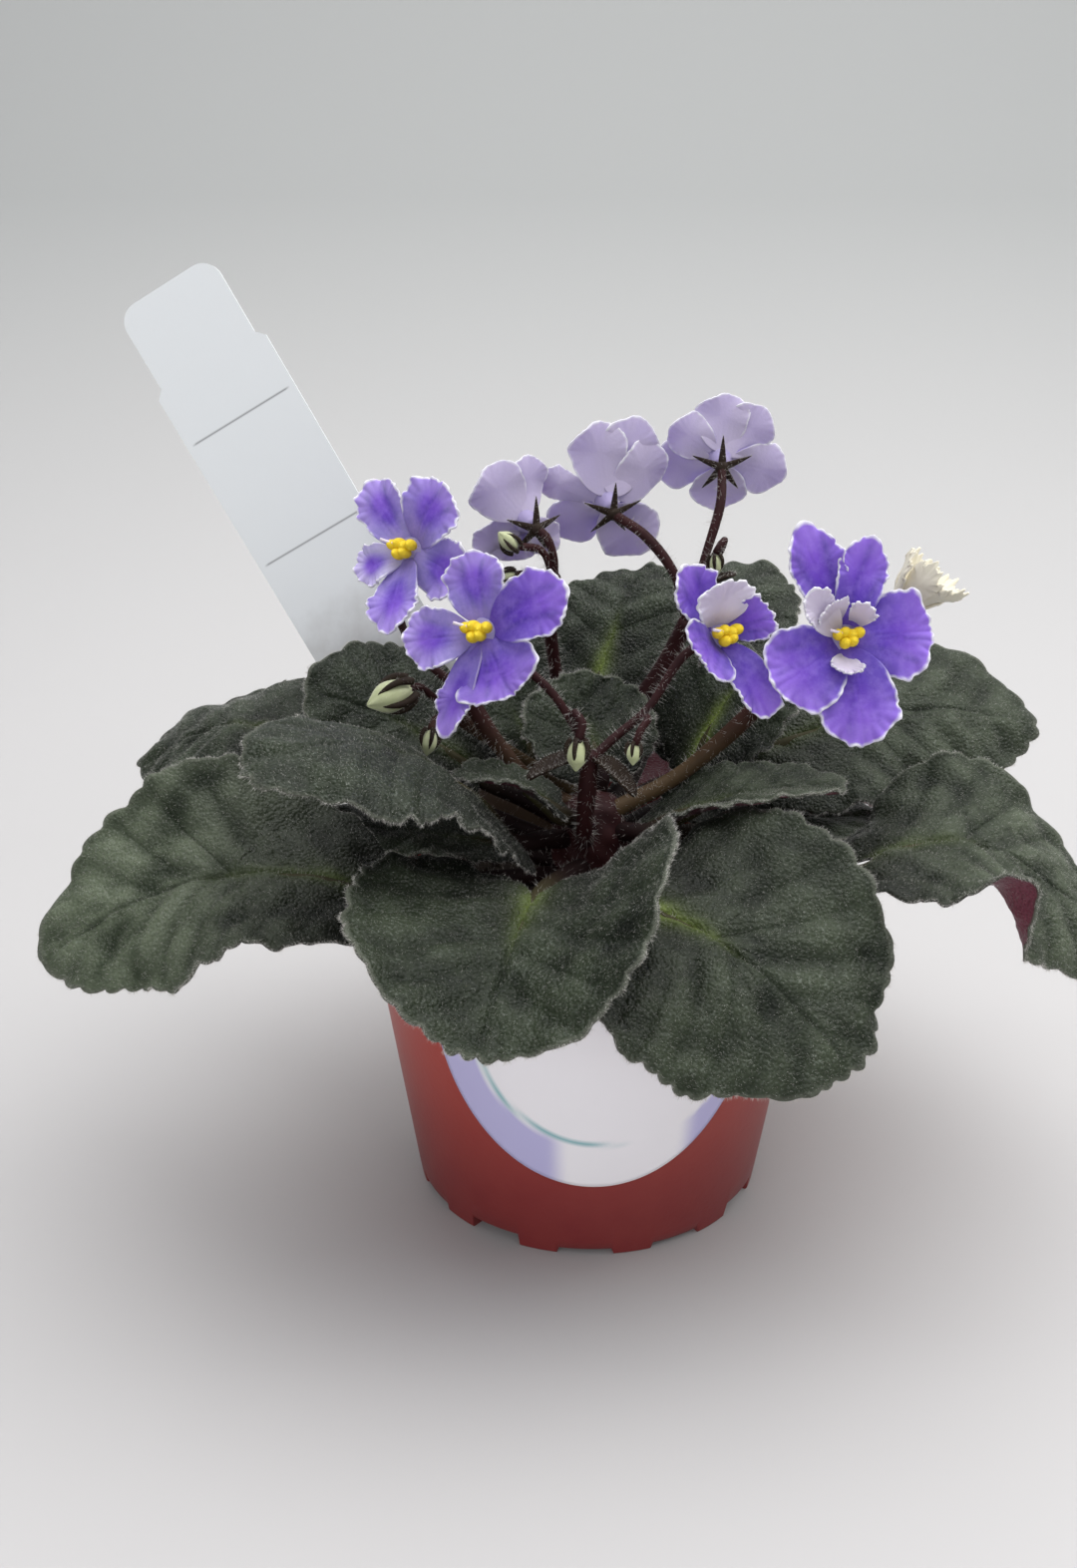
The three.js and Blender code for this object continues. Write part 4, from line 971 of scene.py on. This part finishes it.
def add_petiole(builder, leaf):
    start = unit((*leaf.base[:2], 0.0)) * PETIOLE_START + UP * leaf.root
    flat = Grid(np.array(PETIOLE_REACH) * leaf_length(leaf), *np.zeros((3, 3)))
    join, end, far = leaf_place(leaf, flat)[0] - UP * PETIOLE_BELOW
    path = curve_through([start, (start + join) / 2 + UP * 0.5, join, end, far], PETIOLE_STEPS)
    along = np.linspace(0, 1, PETIOLE_STEPS)
    radii = np.interp(along, *zip(*PETIOLE_RADII))
    points, triangles, ways = sweep(path, radii, PETIOLE_SIDES)
    glow = smooth(0.35, 0.95, np.repeat(along, PETIOLE_SIDES))
    builder.add(points, triangles, PETIOLE_SKIN, glow=np.concatenate([glow, [0, 1]]))
    travel = path_length(path)
    count = int(travel * PETIOLE_HAIRS_PER_MM)
    chosen = builder.rng.integers(0, PETIOLE_STEPS * PETIOLE_SIDES, count)
    shift = builder.rng.uniform(-0.5, 0.5, (count, 1)) * travel / PETIOLE_STEPS
    row = chosen // PETIOLE_SIDES
    onward = unit(path[np.minimum(row + 1, PETIOLE_STEPS - 1)] - path[row] + 1e-9)
    builder.hairs(points[chosen] + shift * onward, ways[chosen], PETIOLE_HAIR)


def make_leaf(name, seed):
    leaf = LEAVES[name]
    builder = Builder([LEAF_SKIN, HAIR_SKIN, PETIOLE_SKIN], "vein", "glow", "under", "tone", "shade", "rim",
                      "peak_light", seed=seed)
    size = LARGE_LEAF_GRID if leaf.width > LARGE_LEAF_WIDTH else SMALL_LEAF_GRID
    grid = leaf_grid(leaf, size)
    height, vein = leaf_relief(leaf, grid)
    spots, rise = leaf_place(leaf, grid)
    front, back = leaf_values(leaf, grid, height, vein)
    blade = add_blade(builder, LEAF_SKIN, spots + rise * height[:, None], size, LEAF_THICKNESS, front, back,
                      turned=True)
    add_margin_hairs(builder, blade, size)
    places, ways = builder.scatter(blade.upper, blade.faces, blade.normals, LEAF_HAIRS_PER_MM2)
    builder.hairs(places, ways + HAIR_LEAN * unit(np.subtract(leaf.tip, leaf.base)), SKIN_HAIR)
    places, ways = builder.scatter(blade.lower, blade.faces, -blade.normals, UNDERSIDE_HAIRS_PER_MM2)
    builder.hairs(places, ways, UNDERSIDE_HAIR)
    add_petiole(builder, leaf)
    builder.piece(name)


# Flowers

def bloom_axes(bloom):
    """A flower's middle, and the ways that it faces and that are its top and its right."""
    facing = unit(bloom.facing)
    top = unit(UP - facing * facing[2])
    return np.array(bloom.at, float), facing, top, np.cross(top, facing)


def petal_grid(petal, phase, crisp):
    """Flat places of a petal: an oval, narrowed towards its base, with a frilled edge."""
    middle = PETAL_MIDDLE * petal.length

    def radius(turn, edge):
        forward = np.cos(turn)
        reach = np.where(forward > 0, petal.length - middle, middle)
        narrow = np.where(forward > 0, 1, 1 - 0.12 * forward ** 2 * np.abs(np.sin(turn)))
        oval = narrow / np.hypot(forward / reach, 2 * np.sin(turn) / petal.width)
        uneven = 0.6 + 0.4 * np.sin(4 * turn + 2.3 * phase)
        frill = 0.035 * np.cos(5 * turn) + 0.03 * crisp * np.sin(9 * turn + phase) \
            + crisp * uneven * (0.022 * np.sin(16 * turn + 2 * phase) + 0.018 * np.sin(27 * turn + phase))
        return oval * (1 + frill * smooth(-0.75, -0.2, forward) * edge ** 6)

    return blade_grid(middle, radius, PETAL_GRID, PETAL_CROWDING)


def petal_height(petal, order, grid, phase, crisp):
    """How far a petal's places stand out of the flower's plane."""
    x, y, edge, turn = grid
    along = x / petal.length
    free = smooth(-0.75, -0.2, np.cos(turn))
    wrinkles = np.sin(9 * turn + phase) + 0.6 * np.sin(20 * turn + 3 * phase)
    crinkle = 0.55 * crisp * edge ** 5 * free * wrinkles
    lines = np.sin(y * 3.1 / (0.4 + 0.6 * np.clip(along, 0, 1)) + phase)
    ridge = 0.05 * crisp * lines * smooth(0, 0.3, along)
    bowl = petal.curve * along ** 2 + petal.cup * (2 * y / petal.width) ** 2
    frill = PETAL_FRILL * edge * edge * np.sin(3 * turn + 2 * order)
    layer = PETAL_LAYERS[order] * np.minimum(1, 0.3 + 2 * along)
    return x * math.sin(math.radians(petal.tilt)) + bowl + frill + crinkle + ridge + layer


def petal_values(petal, grid, phase, pale, washed):
    along = grid.x / petal.length
    wobble = 0.015 * np.sin(11 * grid.angle + phase) + 0.012 * np.sin(23 * grid.angle)
    rim = smooth(0.93, 0.985, grid.edge + wobble) * smooth(-0.9, -0.5, np.cos(grid.angle))
    fan = np.arctan2(grid.y, 0.35 * petal.length + grid.x)
    rays = np.abs(np.sin(13 * fan + phase + 0.5 * np.sin(5 * along + phase)))
    vein = (1 - rays) ** 1.5 * smooth(1.0, 0.6, grid.edge) * (0.65 + 0.35 * np.sin(5 * fan + phase))
    return {"edge": np.maximum(rim, washed * smooth(0.2, 0.8, grid.edge)), "vein": vein,
            "deep": smooth(0.95, 0.2, along), "pale": pale}


def add_petal(builder, skin, bloom, order, pale, washed):
    at, facing, top, right = bloom_axes(bloom)
    petal = Petal(*bloom.petals[order])
    spoke = spoke_at(petal.angle, right, top)
    phase = 1.7 * order + 0.9 * petal.angle / 57
    crisp = CALM_PETAL if facing[1] > 0 else 1.0
    grid = petal_grid(petal, phase, crisp)
    out = petal.start + grid.x * math.cos(math.radians(petal.tilt))
    height = petal_height(petal, order, grid, phase, crisp)
    spots = at + spoke * out[:, None] + np.cross(facing, spoke) * grid.y[:, None] + facing * height[:, None]
    front = petal_values(petal, grid, phase, pale, washed)
    back = {**front, "back": 1.0, "vein": 0.0}
    add_blade(builder, skin, spots, PETAL_GRID, PETAL_THICKNESS, front, back)


def make_bloom(key):
    """A flower's petals and throat. Its first petals are the outer ones."""
    bloom = BLOOMS[key]
    skin = CREAM_SKIN if key == "faded" else PETAL_SKIN
    builder = Builder([skin], "edge", "back", "vein", "deep", "pale")
    washes = PETAL_WASHES.get(key, [USUAL_WASH] * len(bloom.petals))
    for order, washed in enumerate(washes):
        pale = PALE_PETAL if order in PALE_PETALS.get(key, ()) else 0.0
        add_petal(builder, skin, bloom, order, pale, washed)
    at, facing, _, _ = bloom_axes(bloom)
    heights = np.linspace(-THROAT_DEPTH, THROAT_RISE, THROAT_STEPS)
    radii = np.interp(heights, [-THROAT_DEPTH, THROAT_RISE], [THROAT_FOOT_RADIUS, THROAT_RADIUS])
    points, triangles, _ = sweep(at + facing * heights[:, None], radii, THROAT_SIDES)
    builder.add(points, triangles, skin, deep=1.0, pale=0.5)
    builder.piece("bloom_" + key)


def make_stamens(key):
    """Three anthers, each of two halves, and a bent pistil."""
    builder = Builder([ANTHER_SKIN, PISTIL_SKIN])
    at, facing, top, right = bloom_axes(BLOOMS[key])

    def spot(x, y, z):
        return at + right * x + top * y + facing * z

    for x, y in ANTHER_SPOTS:
        for half in ANTHER_HALVES:
            place = spot(x + half, y + 0.3 * half, ANTHER_HEIGHT)
            points, triangles, _ = lump(place, facing + right * 0.15 * x, ANTHER_LENGTH, ANTHER_WIDTH)
            builder.add(points, triangles, ANTHER_SKIN)
    path = curve_through([spot(*row) for row in PISTIL_PATH], PISTIL_STEPS)
    points, triangles, _ = sweep(path, PISTIL_RADIUS, PISTIL_SIDES)
    builder.add(points, triangles, PISTIL_SKIN)
    builder.piece("stamens_" + key)


# Flower stalks

def add_sepal(builder, root, facing, spoke):
    """A flattened, tapered sepal that leans towards the flower."""
    way = unit(spoke + facing * SEPAL_LEAN)
    thin = np.cross(unit(np.cross(facing, spoke)), way)
    t = np.linspace(0, 1, SEPAL_STEPS)
    path = root + way * (SEPAL_LENGTH * t)[:, None] + facing * (SEPAL_BEND * t ** 2)[:, None]
    radii = 0.5 * SEPAL_WIDTH * (1 - t ** 1.6) + SEPAL_TIP_RADIUS
    points, triangles, ways = sweep(path, radii, SEPAL_SIDES)
    flat = points - (points - root) @ thin[:, None] * thin * SEPAL_FLATTENING
    builder.add(flat, triangles, SEPAL_SKIN)
    chosen = builder.rng.integers(0, SEPAL_STEPS * SEPAL_SIDES, SEPAL_HAIRS)
    builder.hairs(flat[chosen], ways[chosen], SEPAL_HAIR)


def add_calyx(builder, key):
    """A flower's calyx with its five sepals. Returns its middle, where its stem ends."""
    at, facing, top, right = bloom_axes(BLOOMS[key])
    root = at - facing * CALYX_DEPTH
    points, triangles, _ = lump(root, facing, CALYX_LENGTH, CALYX_WIDTH)
    builder.add(points, triangles, SEPAL_SKIN)
    for angle in SEPAL_ANGLES:
        add_sepal(builder, root, facing, spoke_at(angle, right, top))
    return root


def add_stem(builder, path, radius, olive):
    steps = max(10, int(path_length(path) / STEM_STEP))
    radii = radius * (1 + STEM_SWELLING * np.sin(np.linspace(0, 9, steps) + radius * 7))
    points, triangles, ways = sweep(curve_through(path, steps), radii, STEM_SIDES)
    builder.add(points, triangles, STEM_SKIN, olive=olive * smooth(*OLIVE_HEIGHTS, points[:, 2]))
    per_mm2 = STEM_HAIRS_PER_MM / (2 * math.pi * radius)
    places, ways = builder.scatter(points, triangles, ways, per_mm2)
    builder.hairs(places, ways, STEM_HAIR)


def add_bud(builder, at, way, length):
    """A pointed bud with five seams, held by thin sepals."""
    at, way = np.array(at, float), unit(way)
    points, triangles, ways = lump(at, way, length, BUD_WIDTH * length, *BUD_GRID)
    along = (points - at) @ way
    sideways = points - at - np.outer(along, way)
    points = points - sideways * (0.5 * smooth(0, 1, 2 * along / length) ** 2)[:, None]
    level = unit(np.cross(way, UP))
    out = unit(points - at + 1e-9)
    seam = np.arctan2(out @ level, out @ np.cross(way, level))
    inward = (BUD_SEAM * length * np.abs(np.cos(2.5 * seam)) ** 6)[:, None]
    builder.add(points - ways * inward, triangles, BUD_SKIN)
    places, out = builder.scatter(points, triangles, ways, BUD_HAIRS_PER_MM2)
    builder.hairs(places, out, BUD_HAIR)
    side = side_of(way)
    for angle in SEPAL_ANGLES:
        add_bud_sepal(builder, at, way, spoke_at(angle, side, np.cross(way, side)), length)


def add_bud_sepal(builder, at, way, spoke, length):
    t = np.linspace(0, 1, BUD_SEPAL_STEPS)[:, None]
    bulge = np.sin(np.clip(0.25 + 0.7 * t, 0, 1) * math.pi)
    path = at - way * length * (0.52 - 0.82 * t) + spoke * (0.34 * length * bulge + 0.09 * length * t)
    radii = 0.08 * length * (1 - t[:, 0] ** 2) ** 0.7 + 0.06
    points, triangles, ways = sweep(path, radii, BUD_SEPAL_SIDES)
    builder.add(points, triangles, SEPAL_SKIN)
    chosen = builder.rng.integers(0, BUD_SEPAL_STEPS * BUD_SEPAL_SIDES, BUD_SEPAL_HAIRS)
    builder.hairs(points[chosen], ways[chosen], BUD_HAIR)


def add_bract(builder, base, tip, width):
    """A small plain oval leaf, hairy on its upper face and all round its margin."""
    bract = Leaf(base, tip, width, arch=1, roll=0, twist=0, lift=(1, 1), wave=0, waves=1, phase=0, root=0)
    length = leaf_length(bract)

    def radius(turn, edge):
        return 1 / np.hypot(2 * np.cos(turn) / length, 2 * np.sin(turn) / width)

    spots, _ = leaf_place(bract, blade_grid(length / 2, radius, BRACT_GRID, 1))
    blade = add_blade(builder, SEPAL_SKIN, spots, BRACT_GRID, BRACT_THICKNESS, {}, {}, turned=True)
    places, ways = builder.scatter(blade.upper, blade.faces, blade.normals, BRACT_HAIRS_PER_MM2)
    builder.hairs(places, ways, UNDERSIDE_HAIR)
    rim = np.repeat(blade.upper[-BRACT_GRID[0]:], BRACT_MARGIN_HAIRS, axis=0)
    builder.hairs(rim, unit(rim - blade.upper.mean(axis=0)), BRACT_MARGIN_HAIR)


def make_spray(name, seed):
    spray = SPRAYS[name]
    builder = Builder([STEM_SKIN, HAIR_SKIN, SEPAL_SKIN, BUD_SKIN], "olive", seed=seed)
    for path, radius, key in spray.stems:
        end = [add_calyx(builder, key)] if key else []
        add_stem(builder, [*path, *end], radius, OLIVE_STEMS.get(name, 0.0))
    for bud in spray.buds:
        add_bud(builder, *bud)
    for bract in spray.bracts:
        add_bract(builder, *bract)
    builder.piece(name)


# Pot, soil, sticker, label and crown

def face_radius(z):
    """The radius of the pot's side at a height, under its rim."""
    return POT_BASE_RADIUS + (POT_TOP_RADIUS - RIM_STEP - POT_BASE_RADIUS) * z / POT_HEIGHT


def notch_depth(angle):
    """How far the foot is cut away at an angle, in radians from +X."""
    turn = (np.degrees(angle) + 90 - NOTCH_TURN) % 360
    number = np.round(turn / (360 / NOTCH_COUNT)) % NOTCH_COUNT
    away = np.abs((turn + 180 / NOTCH_COUNT) % (360 / NOTCH_COUNT) - 180 / NOTCH_COUNT)
    inside = np.radians(away) * POT_BASE_RADIUS < NOTCH_WIDTH / 2
    return np.where(inside, np.where(number % 3 == 2, DEEP_NOTCH, SHALLOW_NOTCH), 0.0)


def notch_foot(ring, r, z):
    if z <= 1 and r >= POT_BASE_RADIUS - FOOT_WIDTH - 0.1:
        angle = np.arctan2(ring[:, 1], ring[:, 0])
        ring[:, 2] = np.minimum(z + notch_depth(angle), FOOT_RECESS - 0.05)
    return ring


def make_pot():
    builder = Builder([POT_SKIN], "low")
    foot = POT_HEIGHT - RIM_HEIGHT
    rim = face_radius(foot) + RIM_STEP
    floor_top = FOOT_RECESS + FLOOR_THICKNESS
    inside = POT_TOP_RADIUS - POT_WALL
    profile = [
        (0, FOOT_RECESS), (POT_BASE_RADIUS - FOOT_WIDTH - ROUNDING, FOOT_RECESS),
        (POT_BASE_RADIUS - FOOT_WIDTH, 0), (POT_BASE_RADIUS - ROUNDING, 0), (POT_BASE_RADIUS, ROUNDING),
        *((face_radius(z), z) for z in np.linspace(4, foot - 0.3, POT_ROWS)),
        (face_radius(foot) + ROUNDING, foot + 0.1), (rim - 0.2, foot + 0.7), (rim, foot + 1.1),
        (POT_TOP_RADIUS, POT_HEIGHT - ROUNDING), (POT_TOP_RADIUS - ROUNDING, POT_HEIGHT),
        (inside + 0.3, POT_HEIGHT), (inside, POT_HEIGHT - 0.3),
        (rim - POT_WALL, foot + 1), (face_radius(foot) - POT_WALL, foot - 1),
        (face_radius(floor_top) - POT_WALL, floor_top), (0, floor_top)]
    points, triangles = lathe(profile, POT_STEPS, notch_foot)
    builder.add(points, triangles, POT_SKIN, low=smooth(60, 5, points[:, 2]))
    builder.piece("pot", crisp=True)


def soil_heap(x, y):
    return 0.9 * np.sin(0.5 * x + 1) * np.cos(0.43 * y) + 0.5 * np.sin(0.9 * y - x)


def soil_radius(z):
    return face_radius(z) - POT_WALL - SOIL_GAP


def roughen_soil(ring, r, z):
    """Heaps and crumbs of the soil's top, which drops towards the wall."""
    if z >= SOIL_TOP:
        x, y = ring[:, 0], ring[:, 1]
        crumbs = 0.5 * np.sin(2.7 * x + 1.3 * np.sin(1.9 * y)) * np.sin(2.3 * y + 1.1 * np.sin(2.1 * x))
        drop = SOIL_DROP * smooth(0.9, 0.99, r / soil_radius(SOIL_SHOULDER))
        ring[:, 2] = SOIL_TOP + soil_heap(x, y) + crumbs - drop
    return ring


def make_soil(seed):
    builder = Builder([SOIL_SKIN], seed=seed)
    rng = builder.rng
    widest = soil_radius(SOIL_SHOULDER)
    profile = [(0.01, SOIL_FOOT), (soil_radius(SOIL_FOOT), SOIL_FOOT), (widest, SOIL_SHOULDER),
               *((widest * t, SOIL_TOP) for t in np.linspace(0.97, 0.02, SOIL_ROWS))]
    points, triangles = lathe(profile, SOIL_STEPS, roughen_soil)
    builder.add(points, triangles, SOIL_SKIN)
    for _ in range(CRUMB_COUNT):
        r = CRUMB_REACH * math.sqrt(rng.uniform(0.02, 1))
        a = rng.uniform(0, 2 * math.pi)
        x, y = r * math.cos(a), r * math.sin(a)
        size = rng.uniform(*CRUMB_SIZES)
        at = (x, y, SOIL_TOP + float(soil_heap(x, y)) + 0.2)
        way = rng.normal(size=3)
        width = size * rng.uniform(*CRUMB_WIDTHS)
        points, triangles, ways = lump(at, way, size, width, *CRUMB_GRID)
        rough = rng.uniform(-CRUMB_ROUGHNESS, CRUMB_ROUGHNESS, (len(points), 1))
        builder.add(points + ways * rough * size, triangles, SOIL_SKIN)
    builder.piece("soil")


def make_sticker():
    """A round sticker, bent round the pot's front and cut straight under its rim."""
    builder = Builder([STICKER_SKIN], "ring", "side")
    u, v, _, _ = blade_grid(0.0, lambda turn, edge: STICKER_RADIUS, STICKER_GRID, 1)
    z = np.minimum(STICKER_MIDDLE + v, POT_HEIGHT - RIM_HEIGHT - 1)
    turn = u / face_radius(STICKER_MIDDLE)
    back = face_radius(z) + STICKER_GAP
    upper, lower = (np.stack([r * np.sin(turn), -r * np.cos(turn), z], axis=1)
                    for r in (back + STICKER_THICKNESS, back))
    oval = np.hypot((u - RING_MIDDLE[0]) / RING_REACH[0], (v - RING_MIDDLE[1]) / RING_REACH[1])
    zones = smooth(-6, -12, u) + smooth(20, 26, u)
    values = {"ring": hump(oval, 1, RING_WIDTH) * smooth(10, -2, u),
              "side": np.clip(smooth(1.02, 1.06, oval) * zones, 0, 1)}
    faces, rim = blade_faces(STICKER_GRID)
    builder.add_sheet(upper, lower, faces, rim, STICKER_SKIN, values, values)
    builder.piece("sticker")


def label_half_width(s, top):
    """Half of the label's width at a distance s above the soil."""
    half = LABEL_WIDTH / 2
    shoulder = [top - LABEL_HEAD_LENGTH - LABEL_SHOULDER, top - LABEL_HEAD_LENGTH]
    body = np.interp(s, [-LABEL_BURIED, LABEL_TAPER - LABEL_BURIED], [LABEL_POINT_WIDTH / 2, half])
    body = np.where(s > shoulder[0], np.interp(s, shoulder, [half, half - LABEL_SHOULDER]), body)
    into = np.clip(s - (top - LABEL_CORNER), 0, LABEL_CORNER)
    return body - LABEL_CORNER + np.sqrt(np.maximum(LABEL_CORNER ** 2 - into ** 2, 0))


def label_rows(top):
    """Distances above the soil of the label's rows, which crowd at its rules and at its head."""
    body_rows, shoulder_rows, head_rows, corner_rows = LABEL_ROWS
    shoulder = top - LABEL_HEAD_LENGTH
    corner = top - LABEL_CORNER
    rules = [(1 - mark) * top + np.linspace(-RULE_REACH, RULE_REACH, RULE_ROWS) for mark in LABEL_RULES]
    return np.unique(np.concatenate([
        np.linspace(-LABEL_BURIED, shoulder - LABEL_SHOULDER, body_rows),
        np.linspace(shoulder - LABEL_SHOULDER, shoulder, shoulder_rows),
        np.linspace(shoulder, corner, head_rows),
        corner + LABEL_CORNER * np.sin(np.linspace(0, math.pi / 2, corner_rows)), *rules]))


def label_faces(index):
    """Triangles of the label's face and of its rim, from the numbers of its rows of points."""
    corners = (index[:-1, :-1], index[:-1, 1:], index[1:, 1:], index[1:, :-1])
    a, b, c, d = (corner.ravel() for corner in corners)
    faces = np.concatenate([np.stack([a, b, c], axis=1), np.stack([a, c, d], axis=1)])
    border = np.concatenate([index[:, 0], index[-1, 1:], index[-2::-1, -1], index[0, -2:0:-1]])
    after = np.roll(border, -1)
    rim = np.concatenate([np.stack([border, border + index.size, after + index.size], axis=1),
                          np.stack([border, after + index.size, after], axis=1)])
    return faces, rim


def make_label():
    builder = Builder([LABEL_SKIN], "rule", "stain_and_shade")
    foot, head = np.array(LABEL_FOOT, float), np.array(LABEL_HEAD, float)
    way = unit(head - foot)
    top = float(np.linalg.norm(head - foot))
    front = unit(np.array([0.0, -1.0, 0.0]) + way * way[1])
    rows = label_rows(top)
    grid_s, grid_t = np.meshgrid(rows, np.linspace(-1, 1, LABEL_COLUMNS), indexing="ij")
    wide = np.maximum(label_half_width(rows, top), 0.02)[:, None] * grid_t
    flat = (foot + way * grid_s[..., None] + np.cross(way, front) * wide[..., None]).reshape(-1, 3)
    faces, rim = label_faces(np.arange(len(flat)).reshape(grid_s.shape))
    share = (grid_s / top).ravel()
    rules = sum(hump((1 - share - mark) * top, 0, LABEL_RULE_WIDTH) for mark in LABEL_RULES)
    # Brown soiling and painted shadow: darker over the lower half, under the leaves, and darkest near the
    # soil
    stain_and_shade = 0.35 * smooth(0.56, 0.4, share) + 0.65 * smooth(0.26, 0.12, share)
    inside = smooth(0.9, 0.84, np.abs(grid_t)).ravel()
    half = front * LABEL_THICKNESS / 2
    builder.add_sheet(flat + half, flat - half, faces, rim, LABEL_SKIN,
                      {"rule": rules * inside * 0.8, "stain_and_shade": stain_and_shade}, {"stain_and_shade": stain_and_shade})
    builder.piece("plant_label", crisp=True)


def groove_crown(ring, r, z):
    angle = np.arctan2(ring[:, 1], ring[:, 0])
    ring[:, :2] *= (1 + CROWN_GROOVE * np.sin(CROWN_RIBS * angle + z) - CROWN_GROOVE)[:, None]
    return ring


def make_crown(seed):
    builder = Builder([STEM_SKIN, HAIR_SKIN], seed=seed)
    radii, heights = zip(*CROWN_PROFILE)
    rows = np.linspace(heights[0], heights[-1], CROWN_ROWS)
    points, triangles = lathe(zip(np.interp(rows, heights, radii), rows), CROWN_STEPS, groove_crown)
    builder.add(points, triangles, STEM_SKIN)
    outward = points * [1, 1, 0] + [0, 0, 2]
    places, ways = builder.scatter(points, triangles, outward, CROWN_HAIRS_PER_MM2)
    builder.hairs(places, ways, CROWN_HAIR)
    builder.piece("crown")


for number, leaf_name in enumerate(LEAVES):
    make_leaf(leaf_name, LEAF_SEED + number)
for bloom_key in BLOOMS:
    make_bloom(bloom_key)
    if bloom_key != "faded":
        make_stamens(bloom_key)
for number, spray_name in enumerate(SPRAYS):
    make_spray(spray_name, SPRAY_SEED + number)
make_pot()
make_soil(SOIL_SEED)
make_sticker()
make_label()
make_crown(CROWN_SEED)


# Floor, light and camera

def make_backdrop():
    """A pale floor that curves up into a wall behind, with painted shade that darkens the wall."""
    front = FLOOR_BACK - FLOOR_BEND
    line = [(FLOOR_FRONT, 0.0), (front, 0.0)]
    line += [(front + FLOOR_BEND * math.sin(t), FLOOR_BEND - FLOOR_BEND * math.cos(t))
             for t in np.linspace(0, math.pi / 2, BEND_STEPS)[1:]]
    line.append((FLOOR_BACK, WALL_TOP))
    points = [(x, y, z) for y, z in line for x in (-FLOOR_WIDTH, FLOOR_WIDTH)]
    faces = [(2 * i, 2 * i + 1, 2 * i + 3, 2 * i + 2) for i in range(len(line) - 1)]
    mesh = bpy.data.meshes.new("backdrop")
    mesh.from_pydata(points, [], faces)
    for polygon in mesh.polygons:
        polygon.use_smooth = True
    look = Look("backdrop_paper")
    height = look.node("SeparateXYZ", {0: look.place()}).outputs["Z"]
    paper = look.mix(look.noise(3), (0.47, 0.46, 0.46), (0.5, 0.49, 0.49))
    # Painted shade: the paper darkens with height, so the wall is darker than the floor
    look.paint(look.mix(look.times(height, 4.0), paper, (0.31, 0.315, 0.312)), 0.7)
    mesh.materials.append(look.material)
    made = bpy.data.objects.new("backdrop", mesh)
    bpy.context.scene.collection.objects.link(made)


def area_light(name, at, target, size, power, color):
    data = bpy.data.lights.new(name, "AREA")
    data.shape = "RECTANGLE"
    data.size, data.size_y = size
    data.energy = power
    data.color = color
    made = bpy.data.objects.new(name, data)
    bpy.context.scene.collection.objects.link(made)
    made.location = Vector(at)
    made.rotation_euler = (Vector(target) - Vector(at)).to_track_quat("-Z", "Y").to_euler()


make_backdrop()
for light_name, light in LIGHTS.items():
    area_light(light_name, *light)

world = bpy.data.worlds.new("room")
world.use_nodes = True
background = world.node_tree.nodes["Background"]
background.inputs["Color"].default_value = ROOM_COLOR
background.inputs["Strength"].default_value = ROOM_LIGHT
bpy.context.scene.world = world

camera_data = bpy.data.cameras.new("camera")
camera_data.sensor_width = SENSOR_WIDTH
camera_data.lens = CAMERA_LENS
camera_data.clip_start = CLIP_START
camera = bpy.data.objects.new("camera", camera_data)
camera.location = (CAMERA_AT + AXIS) * MM
camera.rotation_euler = (math.radians(90 - CAMERA_PITCH), 0, 0)
bpy.context.scene.collection.objects.link(camera)
bpy.context.scene.camera = camera
bpy.context.scene.view_settings.view_transform = "Standard"
